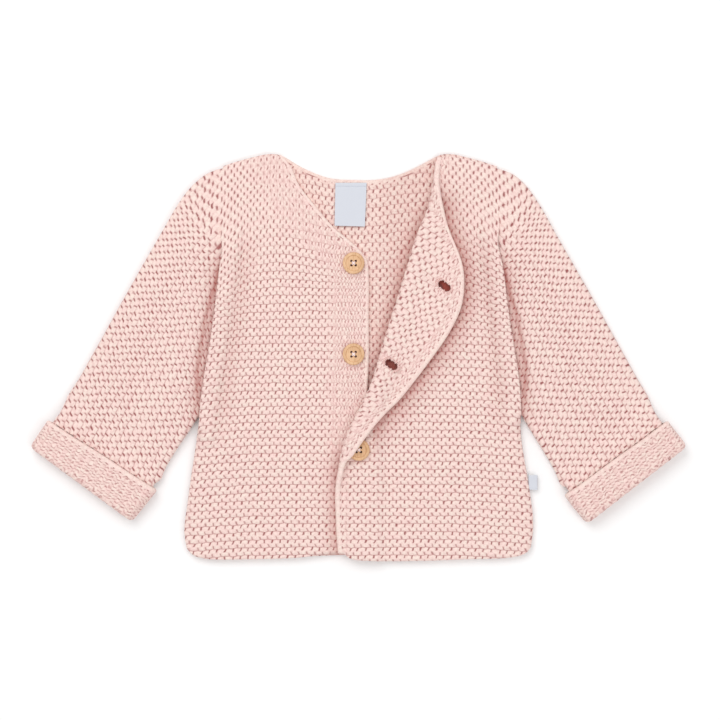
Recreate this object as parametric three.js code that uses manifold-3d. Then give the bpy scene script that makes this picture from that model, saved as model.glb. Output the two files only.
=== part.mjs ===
// A baby's garter-stitch cardigan, lying flat on its back with one front turned open.
// Millimetres. X runs to the right, Y towards the neck and Z up from the surface.
import * as THREE from 'three';
import { mergeVertices } from 'three/addons/utils/BufferGeometryUtils.js';
import Module from 'manifold-3d';

// Cloth
const WALL = 3;
const SEAM_GAP = 0.3;
const LAYER = WALL + SEAM_GAP;

// A cut edge thins out over two steps in from it, and has this share of the wall at the first one
const EDGE_INSET = [0.5, 1.6];
const EDGE_SHARE = 0.7;

// Mid heights of the layers, counted up from the surface
const BACK_Z = WALL / 2;
const FRONT_Z = BACK_Z + LAYER;

// About how long and wide the panels are, which sets how close their edge steps lie
const PANEL_LENGTH = 270;
const BACK_WIDTH = 220;
const BUTTON_FRONT_WIDTH = 110;
const TURNED_FRONT_WIDTH = 100;
const NARROWEST_FLAP = 8;

// The back lies a little inside the fronts at the shoulders and the side seams
const BACK_SHOULDER_DROP = 0.4;
const BACK_SHOULDER_OUT = 0.6;
const SIDE_SEAM_INSET = 0.5;

// How far out the front with the buttonholes starts to climb over the other front, and its slope
const OVERLAP_EDGE = 10.4;
const OVERLAP_SLOPE = 9;

// The edge of the body is lifted where it lies over the sleeve, then settles away from it
const CREASE_FLAT = 7;
const CREASE_SLOPE = 9;
const CREASE_LIFT = LAYER + 0.7;
const CREASE_ONSET = 2.2;

// The turned-back cloth: it settles on the cloth below past its fold, its free edge stands off a
// little where it is wide, and it keeps its round fold lower down. Shares run down the front.
const TURN_ONSET = 1.4;
const LEAST_FLAP = 1.5;
const FOLD_SETTLE = 16;
const FLAP_GAP = 0.15;
const EDGE_LIFT = 1.2;
const EDGE_LIFT_FROM = 0.55;
const EDGE_LIFT_WIDTH = 30;
const KEEP_ROUND_FROM = 0.6;
const KEEP_ROUND_OVER = 0.08;

// Sleeves. A sleeve reaches in under the body's edge by the tuck, from one share of the body's
// side to another, and ends at the armpit. Its layers stand apart by the loft.
const ARMHOLE_GAP = 0.5;
const SLEEVE_TUCK = 4;
const TUCK_START = 0.25;
const TUCK_FULL = 0.36;
const ARMPIT = 0.575;
const ARMPIT_BLEND = 0.06;
const SLEEVE_LOFT = 1.4;
const LOFT_ONSET = 6;
const CROWN_ONSET = 8;
const CROWN_NARROWING = 4;

// Turned-up cuffs: the sleeve narrows and rises inside the cuff over a ramp before it
const CUFF_STAND_OFF = 0.5;
const CUFF_RAMP = 26;
const CUFF_RAMP_SHARE = 0.75;
const CUFF_NARROWING = 0.9;
const CUFF_FLATTENING = 0.6;

// Buttons
const BUTTON_DIAMETER = 15;
const BUTTON_HEIGHT = 3;
const BUTTON_RIM_WIDTH = 2.2;
const BUTTON_DISH_DEPTH = 0.8;
const BUTTON_RIM_SLOPE = 0.5;
const BUTTON_RIM_DROP = 0.15;
const BUTTON_EDGE_ROUND = 0.8;
const BUTTON_HOLE_DIAMETER = 1.5;
const BUTTON_HOLE_SPACING = 3;
const BUTTON_SIDES = 24;
const BUTTON_HOLE_SIDES = 10;

// Buttonholes, which lie along the rows of the knitting
const SLIT_LENGTH = 9;
const SLIT_WIDTH = 4.6;
const SLIT_END_SIDES = 5;
const SLIT_TURN_ON_FLAP = -0.63;

// Longer than any thickness that is cut through
const CUT_LENGTH = 20;

// Labels
const LABEL_THICK = 1;
const NECK_LABEL = { left: -15.9, right: 5.6, top: 121, bottom: 91.4, lean: 0.6 };
const SIDE_LABEL = { innerTop: 117.2, innerBottom: 118.5, outer: 123.8, top: -81, bottom: -91 };

// Sizes of the grids that the walls are made on
const PANEL_ROWS = 24;
const TURNED_ROWS = 28;
const BACK_COLUMNS = 16;
const FRONT_COLUMNS = 12;
const FLAP_COLUMNS = 5;
const ROLL_STEPS = 5;
const SLEEVE_STEPS = 12;
const CUFF_STEPS = 3;
const CUFF_BEND_STEPS = 4;
const SLEEVE_FLAT_STEPS = 8;
const SLEEVE_EDGE_STEPS = 3;

// Shoulder line of the side with the buttons, from the neck to where the sleeve begins
const shoulderLine = [
  { out: 53.6, up: 140.2 },
  { out: 62, up: 140.8 },
  { out: 72, up: 138.6 },
  { out: 82, up: 135.8 },
  { out: 91.2, up: 132.6 },
];

// Back of the neck, from the middle of one shoulder point to the other
const backNeck = [
  { x: -53.6, y: 140 },
  { x: -40.4, y: 132.4 },
  { x: -30, y: 127.4 },
  { x: -19.7, y: 124 },
  { x: -6, y: 122.9 },
  { x: 10, y: 122.9 },
  { x: 22, y: 125 },
  { x: 32, y: 128.6 },
  { x: 42.4, y: 133.8 },
  { x: 53.6, y: 139.4 },
];

// The edge of the body from the shoulder down the crease over the sleeve, then down the side seam
const bodySide = [
  { left: -91.2, right: 93.2, y: 132.6, crease: 0 },
  { left: -92, right: 94.2, y: 108, crease: 0 },
  { left: -93, right: 95.8, y: 82, crease: 0.2 },
  { left: -96, right: 99.8, y: 62, crease: 1 },
  { left: -98.6, right: 102.4, y: 40, crease: 1 },
  { left: -101.8, right: 105.8, y: 16, crease: 1 },
  { left: -105.8, right: 110, y: -8, crease: 1 },
  { left: -109, right: 112, y: -30, crease: 1 },
  { left: -110.4, right: 111.6, y: -48, crease: 0.4 },
  { left: -112.8, right: 113.4, y: -64, crease: 0 },
  { left: -115.6, right: 116.8, y: -82, crease: 0 },
  { left: -118, right: 119.4, y: -100, crease: 0 },
  { left: -120.2, right: 121, y: -118, crease: 0 },
  { left: -118.6, right: 119.2, y: -130, crease: 0 },
];

// Hem of the front with the buttons, and of the back
const hemLeft = [
  { x: -118.6, y: -130 },
  { x: -115, y: -135.4 },
  { x: -107, y: -138.4 },
  { x: -66, y: -138.8 },
  { x: -43, y: -138 },
  { x: -16, y: -134.8 },
  { x: 6.6, y: -134.4 },
];
const backHem = [
  { x: -117.6, y: -129 },
  { x: -114, y: -134.2 },
  { x: -106, y: -137.2 },
  { x: -60, y: -137.4 },
  { x: 0, y: -135 },
  { x: 60, y: -138 },
  { x: 106, y: -136.4 },
  { x: 114, y: -133.4 },
  { x: 118.2, y: -129 },
];

// Neck edge and front edge of the front with the buttons, from the shoulder down
const buttonFrontEdge = [
  { x: -53.6, y: 140.2 },
  { x: -47, y: 132.6 },
  { x: -41, y: 119.4 },
  { x: -29.4, y: 104.6 },
  { x: -16.8, y: 90 },
  { x: -6.4, y: 81.4 },
  { x: 1.6, y: 74 },
  { x: 6, y: 67 },
  { x: 7.2, y: 56 },
  { x: 7.2, y: 30 },
  { x: 7.2, y: 0 },
  { x: 6.4, y: -24 },
  { x: 6.6, y: -70 },
  { x: 6.6, y: -134.4 },
];

// The front with the buttonholes. Each row is one line of the knitting: where its cloth turns
// back, where its free edge lies on top, where it meets the side, and how round the fold is.
const turnedFront = [
  { foldX: 54.4, foldY: 138.8, edgeX: 54.4, edgeY: 138.8, sideX: 93.2, sideY: 132.6, roll: 2.4, curl: 0 },
  { foldX: 51.4, foldY: 121.6, edgeX: 57.2, edgeY: 117.6, sideX: 94, sideY: 112, roll: 2.4, curl: 0.85 },
  { foldX: 47.4, foldY: 103.4, edgeX: 60.8, edgeY: 94, sideX: 94.8, sideY: 95, roll: 2.4, curl: 1 },
  { foldX: 39.6, foldY: 84, edgeX: 72.2, edgeY: 61.6, sideX: 96.2, sideY: 79, roll: 2.5, curl: 1 },
  { foldX: 33.4, foldY: 63.6, edgeX: 71.4, edgeY: 37.4, sideX: 99.8, sideY: 61.6, roll: 2.6, curl: 1 },
  { foldX: 27.2, foldY: 43.4, edgeX: 63.2, edgeY: 18.4, sideX: 102.2, sideY: 43, roll: 2.6, curl: 1 },
  { foldX: 20.6, foldY: 23, edgeX: 51.6, edgeY: 1.2, sideX: 104.8, sideY: 23.4, roll: 2.6, curl: 1 },
  { foldX: 14.6, foldY: 3, edgeX: 39.8, edgeY: -14.6, sideX: 108, sideY: 4, roll: 2.5, curl: 1 },
  { foldX: 9, foldY: -15.8, edgeX: 28.2, edgeY: -29, sideX: 110.8, sideY: -15, roll: 2.5, curl: 1 },
  { foldX: 2, foldY: -32, edgeX: 15.4, edgeY: -41.6, sideX: 112, sideY: -32, roll: 2.7, curl: 1 },
  { foldX: -6, foldY: -47, edgeX: 5, edgeY: -54.8, sideX: 111.8, sideY: -48, roll: 3.4, curl: 1 },
  { foldX: -11.4, foldY: -62, edgeX: -3.2, edgeY: -66.4, sideX: 113.4, sideY: -63, roll: 3.4, curl: 1 },
  { foldX: -14, foldY: -76.4, edgeX: -11, edgeY: -78, sideX: 116, sideY: -78, roll: 3.2, curl: 0.72 },
  { foldX: -15.4, foldY: -92, edgeX: -15.4, edgeY: -92, sideX: 118.4, sideY: -93, roll: 2.6, curl: 0.12 },
  { foldX: -15.6, foldY: -112, edgeX: -15.6, edgeY: -112, sideX: 120.6, sideY: -112, roll: 2.4, curl: 0 },
  { foldX: -14.2, foldY: -134.8, edgeX: -14.2, edgeY: -134.8, sideX: 119.2, sideY: -130, roll: 2.4, curl: 0 },
];

// Shoulder and hem of the front with the buttonholes
const turnedShoulder = [
  { x: 58.4, y: 140 },
  { x: 63, y: 140.8 },
  { x: 73, y: 138.6 },
  { x: 83, y: 135.8 },
  { x: 93.2, y: 132.6 },
];
const hemRight = [
  { x: -10.4, y: -134.8 },
  { x: -5.6, y: -138.4 },
  { x: 8.6, y: -140 },
  { x: 40, y: -140.2 },
  { x: 74, y: -139 },
  { x: 106, y: -137.6 },
  { x: 115.4, y: -134.8 },
  { x: 119.2, y: -130 },
];

// Outlines of the sleeves from the body to the end, and the row of each where the cuff starts
const sleeves = [
  {
    name: 'sleeve_right',
    side: -1,
    top: [
      { x: -91.6, y: 132.4 },
      { x: -102.6, y: 128.8 },
      { x: -112.8, y: 121 },
      { x: -121.4, y: 110.6 },
      { x: -134.8, y: 88.4 },
      { x: -159, y: 46.4 },
      { x: -181, y: 7.2 },
      { x: -196, y: -18.6 },
      { x: -213.6, y: -43 },
      { x: -225.4, y: -60.4 },
    ],
    bottom: [
      { x: -105.6, y: -37 },
      { x: -112.4, y: -42.6 },
      { x: -119, y: -52.6 },
      { x: -126, y: -63.6 },
      { x: -133.4, y: -76 },
      { x: -139.4, y: -90.4 },
      { x: -155.8, y: -111.6 },
    ],
    cuffRow: { top: 8, bottom: 5 },
  },
  {
    name: 'sleeve_left',
    side: 1,
    top: [
      { x: 93.6, y: 132.6 },
      { x: 104.6, y: 128.4 },
      { x: 115, y: 119.6 },
      { x: 125, y: 105.4 },
      { x: 135.4, y: 87 },
      { x: 159.4, y: 45.2 },
      { x: 182, y: 5 },
      { x: 196.6, y: -20.6 },
      { x: 212.6, y: -43.4 },
      { x: 225.4, y: -60 },
    ],
    bottom: [
      { x: 108.8, y: -33 },
      { x: 113, y: -39 },
      { x: 118.8, y: -49.4 },
      { x: 127.8, y: -64 },
      { x: 135.8, y: -78 },
      { x: 142.4, y: -94 },
      { x: 157, y: -113 },
    ],
    cuffRow: { top: 8, bottom: 5 },
  },
];

// Places of the buttons and of the buttonholes on the turned-back cloth
const buttonPlaces = [
  { name: 'button_top', x: -3.4, y: 65.4, restsOn: FRONT_Z },
  { name: 'button_middle', x: -3.4, y: 2.6, restsOn: FRONT_Z },
  { name: 'button_bottom', x: 0.2, y: -63.2, restsOn: FRONT_Z + LAYER },
];
const flapSlits = [
  { x: 59.2, y: 49.6 },
  { x: 22.6, y: -4.6 },
];

// Long soft creases. Each is a low ridge between two points, in a panel's upper face.
const creases = {
  front_right: [
    { fromX: -84, fromY: 52, toX: -62, toY: -10, high: 0.9, wide: 9 },
    { fromX: -98, fromY: -40, toX: -70, toY: -96, high: 0.8, wide: 11 },
    { fromX: -34, fromY: 84, toX: -52, toY: 46, high: 0.6, wide: 9 },
  ],
  front_left: [
    { fromX: 88, fromY: 44, toX: 66, toY: -14, high: 0.9, wide: 9 },
    { fromX: 100, fromY: -44, toX: 70, toY: -92, high: 0.8, wide: 11 },
    { fromX: 30, fromY: -52, toX: 60, toY: -76, high: 0.6, wide: 10 },
  ],
  sleeve_right: [
    { fromX: -122, fromY: 92, toX: -152, toY: 22, high: 0.9, wide: 9 },
    { fromX: -118, fromY: 6, toX: -146, toY: -52, high: 1.1, wide: 8 },
  ],
  sleeve_left: [
    { fromX: 124, fromY: 92, toX: 154, toY: 22, high: 0.9, wide: 9 },
    { fromX: 120, fromY: 4, toX: 148, toY: -54, high: 1.1, wide: 8 },
  ],
  back: [],
};

const wasm = await Module();
wasm.setup();

const clamp01 = (t) => Math.min(1, Math.max(0, t));
const smooth = (t) => clamp01(t) ** 2 * (3 - 2 * clamp01(t));
const mix = (a, b, t) => a + (b - a) * t;

// A smooth curve through the rows of a table, read by two of its columns
function curveOf(rows, xKey, yKey) {
  const points = rows.map((row) => new THREE.Vector3(row[xKey], row[yKey], 0));
  return new THREE.CatmullRomCurve3(points, false, 'centripetal');
}

// A number column of a table, blended between its rows
function columnOf(rows, key) {
  return (t) => {
    const at = clamp01(t) * (rows.length - 1);
    const row = Math.min(rows.length - 2, Math.floor(at));
    return mix(rows[row][key], rows[row + 1][key], smooth(at - row));
  };
}

// Steps from 0 to 1 over a length, with the close steps that round a cut edge at both ends
function edgedSteps(count, length, start = true, end = true) {
  const insets = EDGE_INSET.map((inset) => inset / length);
  const low = start ? insets.at(-1) : 0;
  const high = end ? 1 - insets.at(-1) : 1;
  const inner = [];
  for (let i = 0; i <= count; i += 1) inner.push(mix(low, high, i / count));
  const before = start ? [0, insets[0]] : [];
  const after = end ? [1 - insets[0], 1] : [];
  return [...before, ...inner, ...after];
}

// Share of the full thickness at each step of a row that starts and ends at a cut edge
function edgeShares(count) {
  const shares = new Array(count).fill(1);
  shares[0] = shares[count - 1] = 0;
  shares[1] = shares[count - 2] = EDGE_SHARE;
  return shares;
}

// The patch between four curves: up runs from bottom to top, across from left to right
function patchBetween(left, right, bottom, top) {
  const corner = {
    leftBottom: bottom(0),
    rightBottom: bottom(1),
    leftTop: top(0),
    rightTop: top(1),
  };
  return (across, up) => {
    const sides = left(up).multiplyScalar(1 - across).add(right(up).multiplyScalar(across));
    const ends = bottom(across).multiplyScalar(1 - up).add(top(across).multiplyScalar(up));
    const low = corner.leftBottom.clone().lerp(corner.rightBottom, across);
    const high = corner.leftTop.clone().lerp(corner.rightTop, across);
    return sides.add(ends).sub(low.lerp(high, up));
  };
}

// Height that the creases of a piece add at a point
function creaseHeight(name, x, y) {
  let height = 0;
  for (const crease of creases[name]) {
    const alongX = crease.toX - crease.fromX;
    const alongY = crease.toY - crease.fromY;
    const length = Math.hypot(alongX, alongY);
    const along = ((x - crease.fromX) * alongX + (y - crease.fromY) * alongY) / length ** 2;
    const off = ((x - crease.fromX) * alongY - (y - crease.fromY) * alongX) / length;
    const fade = Math.sin(Math.PI * clamp01(along)) ** 2;
    height += crease.high * fade * Math.exp(-((off / crease.wide) ** 2));
  }
  return height;
}

// Outward directions of a grid of points, from the points beside each one
function gridNormals(points, closed) {
  const rows = points.length;
  const columns = points[0].length;
  return points.map((row, i) =>
    row.map((point, j) => {
      const before = closed ? (j + columns - 1) % columns : Math.max(0, j - 1);
      const after = closed ? (j + 1) % columns : Math.min(columns - 1, j + 1);
      const across = row[after].clone().sub(row[before]);
      const along = points[Math.min(rows - 1, i + 1)][j].clone().sub(points[Math.max(0, i - 1)][j]);
      return across.cross(along).normalize();
    })
  );
}

function geometryFrom(vertices, faces) {
  const geometry = new THREE.BufferGeometry();
  geometry.setAttribute('position', new THREE.Float32BufferAttribute(vertices, 3));
  geometry.setIndex(faces);
  geometry.computeVertexNormals();
  return geometry;
}

// A wall of cloth on a grid of middle points. The thickness runs out to nothing at cut edges,
// where both faces share their points, and closed rows join their last point to their first.
function clothWall(points, shareAt, closed = false) {
  const rows = points.length;
  const columns = points[0].length;
  const normals = gridNormals(points, closed);
  const vertices = [];
  const front = points.map((row) => new Array(row.length));
  const back = points.map((row) => new Array(row.length));
  const add = (point) => {
    vertices.push(point.x, point.y, point.z);
    return vertices.length / 3 - 1;
  };
  for (let i = 0; i < rows; i += 1) {
    for (let j = 0; j < columns; j += 1) {
      const half = (WALL / 2) * shareAt(i, j);
      const point = points[i][j];
      const normal = normals[i][j];
      front[i][j] = add(point.clone().addScaledVector(normal, half));
      back[i][j] = half === 0 ? front[i][j] : add(point.clone().addScaledVector(normal, -half));
    }
  }
  const faces = [];
  const cells = closed ? columns : columns - 1;
  for (let i = 0; i < rows - 1; i += 1) {
    for (let j = 0; j < cells; j += 1) {
      const k = (j + 1) % columns;
      const lowRight = !closed && i === 0 && j === cells - 1;
      const highLeft = !closed && i === rows - 2 && j === 0;
      for (const [side, flip] of [[front, false], [back, true]]) {
        const [a, b, c, d] = [side[i][j], side[i][k], side[i + 1][k], side[i + 1][j]];
        const pair = lowRight || highLeft ? [[a, b, d], [b, c, d]] : [[a, b, c], [a, c, d]];
        for (const [p, q, r] of pair) faces.push(...(flip ? [p, r, q] : [p, q, r]));
      }
    }
  }
  return geometryFrom(vertices, faces);
}

function solidOf(geometry) {
  const bare = geometry.clone();
  bare.deleteAttribute('normal');
  bare.deleteAttribute('uv');
  const merged = mergeVertices(bare, 1e-4);
  return new wasm.Manifold(
    new wasm.Mesh({
      numProp: 3,
      vertProperties: new Float32Array(merged.attributes.position.array),
      triVerts: new Uint32Array(merged.index.array),
    })
  );
}

function geometryOf(solid) {
  const mesh = solid.getMesh();
  return geometryFrom(Array.from(mesh.vertProperties), Array.from(mesh.triVerts));
}

// The slot of a buttonhole, as a solid to cut with
function slitCutter(x, y, turn, low, high) {
  const half = (SLIT_LENGTH - SLIT_WIDTH) / 2;
  const shape = new THREE.Shape();
  shape.absarc(half, 0, SLIT_WIDTH / 2, -Math.PI / 2, Math.PI / 2);
  shape.absarc(-half, 0, SLIT_WIDTH / 2, Math.PI / 2, (3 * Math.PI) / 2);
  const geometry = new THREE.ExtrudeGeometry(shape, {
    depth: high - low,
    bevelEnabled: false,
    curveSegments: SLIT_END_SIDES,
  });
  geometry.rotateZ(turn);
  geometry.translate(x, y, low);
  return solidOf(geometry);
}

// How far the front with the buttonholes is lifted where it passes over the other front
const overlapLift = (x) => LAYER * smooth((OVERLAP_EDGE + OVERLAP_SLOPE - x) / OVERLAP_SLOPE);

// How far the edge of the body is lifted where it lies over the sleeve
function creaseLift(fromSide, crease) {
  const settled = smooth((fromSide - CREASE_FLAT) / CREASE_SLOPE);
  return CREASE_LIFT * smooth(crease * CREASE_ONSET) * (1 - settled);
}

const sideAt = {
  left: curveOf(bodySide, 'left', 'y'),
  right: curveOf(bodySide, 'right', 'y'),
  crease: columnOf(bodySide, 'crease'),
};

// How far a sleeve reaches in under the body's edge, along that edge from the shoulder
const tuckAt = (t) => SLEEVE_TUCK * smooth((t - TUCK_START) / (TUCK_FULL - TUCK_START));

// The line along which the back meets the sleeves, then the side seam below
function backSide(side) {
  const outer = side < 0 ? sideAt.left : sideAt.right;
  return (up) => {
    const t = 1 - up;
    const belowArmpit = smooth((t - ARMPIT) / ARMPIT_BLEND);
    const inset = mix(ARMHOLE_GAP + tuckAt(t), SIDE_SEAM_INSET, belowArmpit);
    const point = outer.getPoint(t);
    point.x -= side * inset;
    return point;
  };
}

function makeBack() {
  const left = backSide(-1);
  const right = backSide(1);
  const dropped = shoulderLine.map((row) => ({ out: row.out, y: row.up - BACK_SHOULDER_DROP }));
  const topRows = [
    ...dropped.toReversed().map(({ out, y }) => ({ x: -out, y })),
    ...backNeck.slice(1, -1),
    ...dropped.map(({ out, y }) => ({ x: out + BACK_SHOULDER_OUT, y })),
  ];
  const topCurve = curveOf(topRows, 'x', 'y');
  const hemCurve = curveOf(backHem, 'x', 'y');
  const fit = (curve, from, to) => (across) => {
    const point = curve.getPointAt(across);
    point.add(from.clone().sub(curve.getPoint(0)).multiplyScalar(1 - across));
    return point.add(to.clone().sub(curve.getPoint(1)).multiplyScalar(across));
  };
  const patch = patchBetween(
    left,
    right,
    fit(hemCurve, left(0), right(0)),
    fit(topCurve, left(1), right(1))
  );
  const columns = edgedSteps(BACK_COLUMNS, BACK_WIDTH);
  const rows = edgedSteps(PANEL_ROWS, PANEL_LENGTH);
  const points = rows.map((up) => columns.map((across) => patch(across, up).setZ(BACK_Z)));
  const rowShare = edgeShares(rows.length);
  const columnShare = edgeShares(columns.length);
  return clothWall(points, (i, j) => Math.min(rowShare[i], columnShare[j]));
}

function makeButtonFront() {
  const left = (up) => sideAt.left.getPoint(1 - up);
  const edge = curveOf(buttonFrontEdge, 'x', 'y');
  const right = (up) => edge.getPointAt(1 - up);
  const hem = curveOf(hemLeft, 'x', 'y');
  const shoulderRows = shoulderLine.toReversed().map(({ out, up }) => ({ x: -out, y: up }));
  const shoulder = curveOf(shoulderRows, 'x', 'y');
  const patch = patchBetween(left, right, (a) => hem.getPointAt(a), (a) => shoulder.getPointAt(a));
  const columns = edgedSteps(FRONT_COLUMNS, BUTTON_FRONT_WIDTH);
  const rows = edgedSteps(PANEL_ROWS, PANEL_LENGTH);
  const points = rows.map((up) =>
    columns.map((across) => {
      const point = patch(across, up);
      const fromSide = point.x - left(up).x;
      const lift = creaseLift(fromSide, sideAt.crease(1 - up));
      return point.setZ(FRONT_Z + lift + creaseHeight('front_right', point.x, point.y));
    })
  );
  const rowShare = edgeShares(rows.length);
  const columnShare = edgeShares(columns.length);
  return clothWall(points, (i, j) => Math.min(rowShare[i], columnShare[j]));
}

// The front that is turned open: free edge, turned-back cloth, round fold, then the cloth below
function makeTurnedFront() {
  const fold = curveOf(turnedFront, 'foldX', 'foldY');
  const edge = curveOf(turnedFront, 'edgeX', 'edgeY');
  const side = curveOf(turnedFront, 'sideX', 'sideY');
  const rollAt = columnOf(turnedFront, 'roll');
  const curlAt = columnOf(turnedFront, 'curl');
  const reach = (t) => WALL / 2 + rollAt(t);
  const intoCloth = (t) => {
    const tangent = fold.getTangent(t);
    return new THREE.Vector3(-tangent.y, tangent.x, 0).normalize();
  };
  const turned = (t) => smooth(curlAt(t) * TURN_ONSET);
  const rowStart = (t) => {
    const direction = new THREE.Vector3(1, 0, 0).lerp(intoCloth(t), turned(t)).normalize();
    return fold.getPoint(t).addScaledVector(direction, reach(t));
  };
  const left = (up) => rowStart(1 - up);
  const right = (up) => side.getPoint(1 - up);
  const hem = curveOf(hemRight, 'x', 'y');
  const shoulder = curveOf(turnedShoulder, 'x', 'y');
  const fit = (curve, from) => (across) => {
    const shift = from.clone().sub(curve.getPoint(0)).multiplyScalar(1 - across);
    return curve.getPointAt(across).add(shift);
  };
  const patch = patchBetween(left, right, fit(hem, left(0)), fit(shoulder, left(1)));
  const rows = edgedSteps(TURNED_ROWS, PANEL_LENGTH);
  const below = edgedSteps(FRONT_COLUMNS, TURNED_FRONT_WIDTH, false, true);

  const lowerPoint = (across, up) => {
    const point = patch(across, up);
    const fromSide = right(up).x - point.x;
    const lift = creaseLift(fromSide, sideAt.crease(clamp01(1 - up)));
    const height = overlapLift(point.x) + lift + creaseHeight('front_left', point.x, point.y);
    return point.setZ(FRONT_Z + height);
  };

  const points = rows.map((up) => {
    const t = 1 - up;
    const roll = rollAt(t);
    const angle = Math.PI * curlAt(t);
    const start = lowerPoint(0, up);
    const inward = intoCloth(t);
    const leftward = new THREE.Vector3(-1, 0, 0).lerp(inward.clone().negate(), turned(t));
    leftward.normalize();
    const toEdge = edge.getPoint(t).sub(fold.getPoint(t));
    const drift = toEdge.clone().addScaledVector(inward, -toEdge.dot(inward));
    const flatTurned = Math.max(LEAST_FLAP, toEdge.dot(inward) - reach(t));
    const flat = mix(reach(t), flatTurned, turned(t));
    const cloth = roll * angle + flat;
    const loose = 1 - smooth((t - KEEP_ROUND_FROM) / KEEP_ROUND_OVER);
    const spare = loose * curlAt(t) * (2 * roll - LAYER - FLAP_GAP);
    const edgeLift = loose * EDGE_LIFT * smooth(flat / EDGE_LIFT_WIDTH);
    const row = [];
    const place = (along, out, height) => {
      const share = along / cloth;
      const point = start.clone().addScaledVector(leftward, out).addScaledVector(drift, share);
      point.z = start.z + height;
      return point;
    };
    const flapSteps = edgedSteps(FLAP_COLUMNS, Math.max(flat, NARROWEST_FLAP), false, true);
    for (const step of flapSteps.slice(1).reverse()) {
      const along = step * flat;
      const out = roll * Math.sin(angle) + along * Math.cos(angle);
      let height = roll * (1 - Math.cos(angle)) + along * Math.sin(angle);
      height -= spare * smooth(along / FOLD_SETTLE);
      height += edgeLift * smooth((step - EDGE_LIFT_FROM) / (1 - EDGE_LIFT_FROM));
      const point = place(roll * angle + along, out, height);
      const ground = FRONT_Z + overlapLift(point.x) - start.z;
      point.z += loose * ground * smooth(along / FOLD_SETTLE);
      row.push(point);
    }
    for (let step = ROLL_STEPS; step > 0; step -= 1) {
      const part = (angle * step) / ROLL_STEPS;
      row.push(place(roll * part, roll * Math.sin(part), roll * (1 - Math.cos(part))));
    }
    for (const across of below) row.push(lowerPoint(across, up));
    return row;
  });
  const rowShare = edgeShares(rows.length);
  const columnShare = edgeShares(points[0].length);
  let solid = solidOf(clothWall(points, (i, j) => Math.min(rowShare[i], columnShare[j])));
  for (const slit of flapSlits) {
    const above = FRONT_Z + overlapLift(slit.x) + WALL / 2 + SEAM_GAP / 2;
    const cutter = slitCutter(slit.x, slit.y, SLIT_TURN_ON_FLAP, above, above + CUT_LENGTH);
    solid = solid.subtract(cutter);
  }
  const last = buttonPlaces[2];
  const under = last.restsOn - WALL / 2 - SEAM_GAP / 2;
  solid = solid.subtract(slitCutter(last.x, last.y, 0, under, under + LAYER));
  return geometryOf(solid);
}

// A flattened ring: how far across each point lies, from -1 to 1, and how high, from -1 to 1
function flattenedRing(halfWidth, halfHeight) {
  const ring = [];
  const inset = halfHeight / halfWidth;
  const flat = (from, to, high) => {
    for (let i = 0; i < SLEEVE_FLAT_STEPS; i += 1) {
      ring.push({ across: mix(from, to, i / SLEEVE_FLAT_STEPS), high });
    }
  };
  const round = (end, from) => {
    for (let i = 0; i < SLEEVE_EDGE_STEPS; i += 1) {
      const angle = from + (Math.PI * i) / SLEEVE_EDGE_STEPS;
      ring.push({ across: end + inset * Math.cos(angle), high: Math.sin(angle) });
    }
  };
  flat(-1 + inset, 1 - inset, -1);
  round(1 - inset, -Math.PI / 2);
  flat(1 - inset, -1 + inset, 1);
  round(-1 + inset, Math.PI / 2);
  return ring;
}

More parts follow.
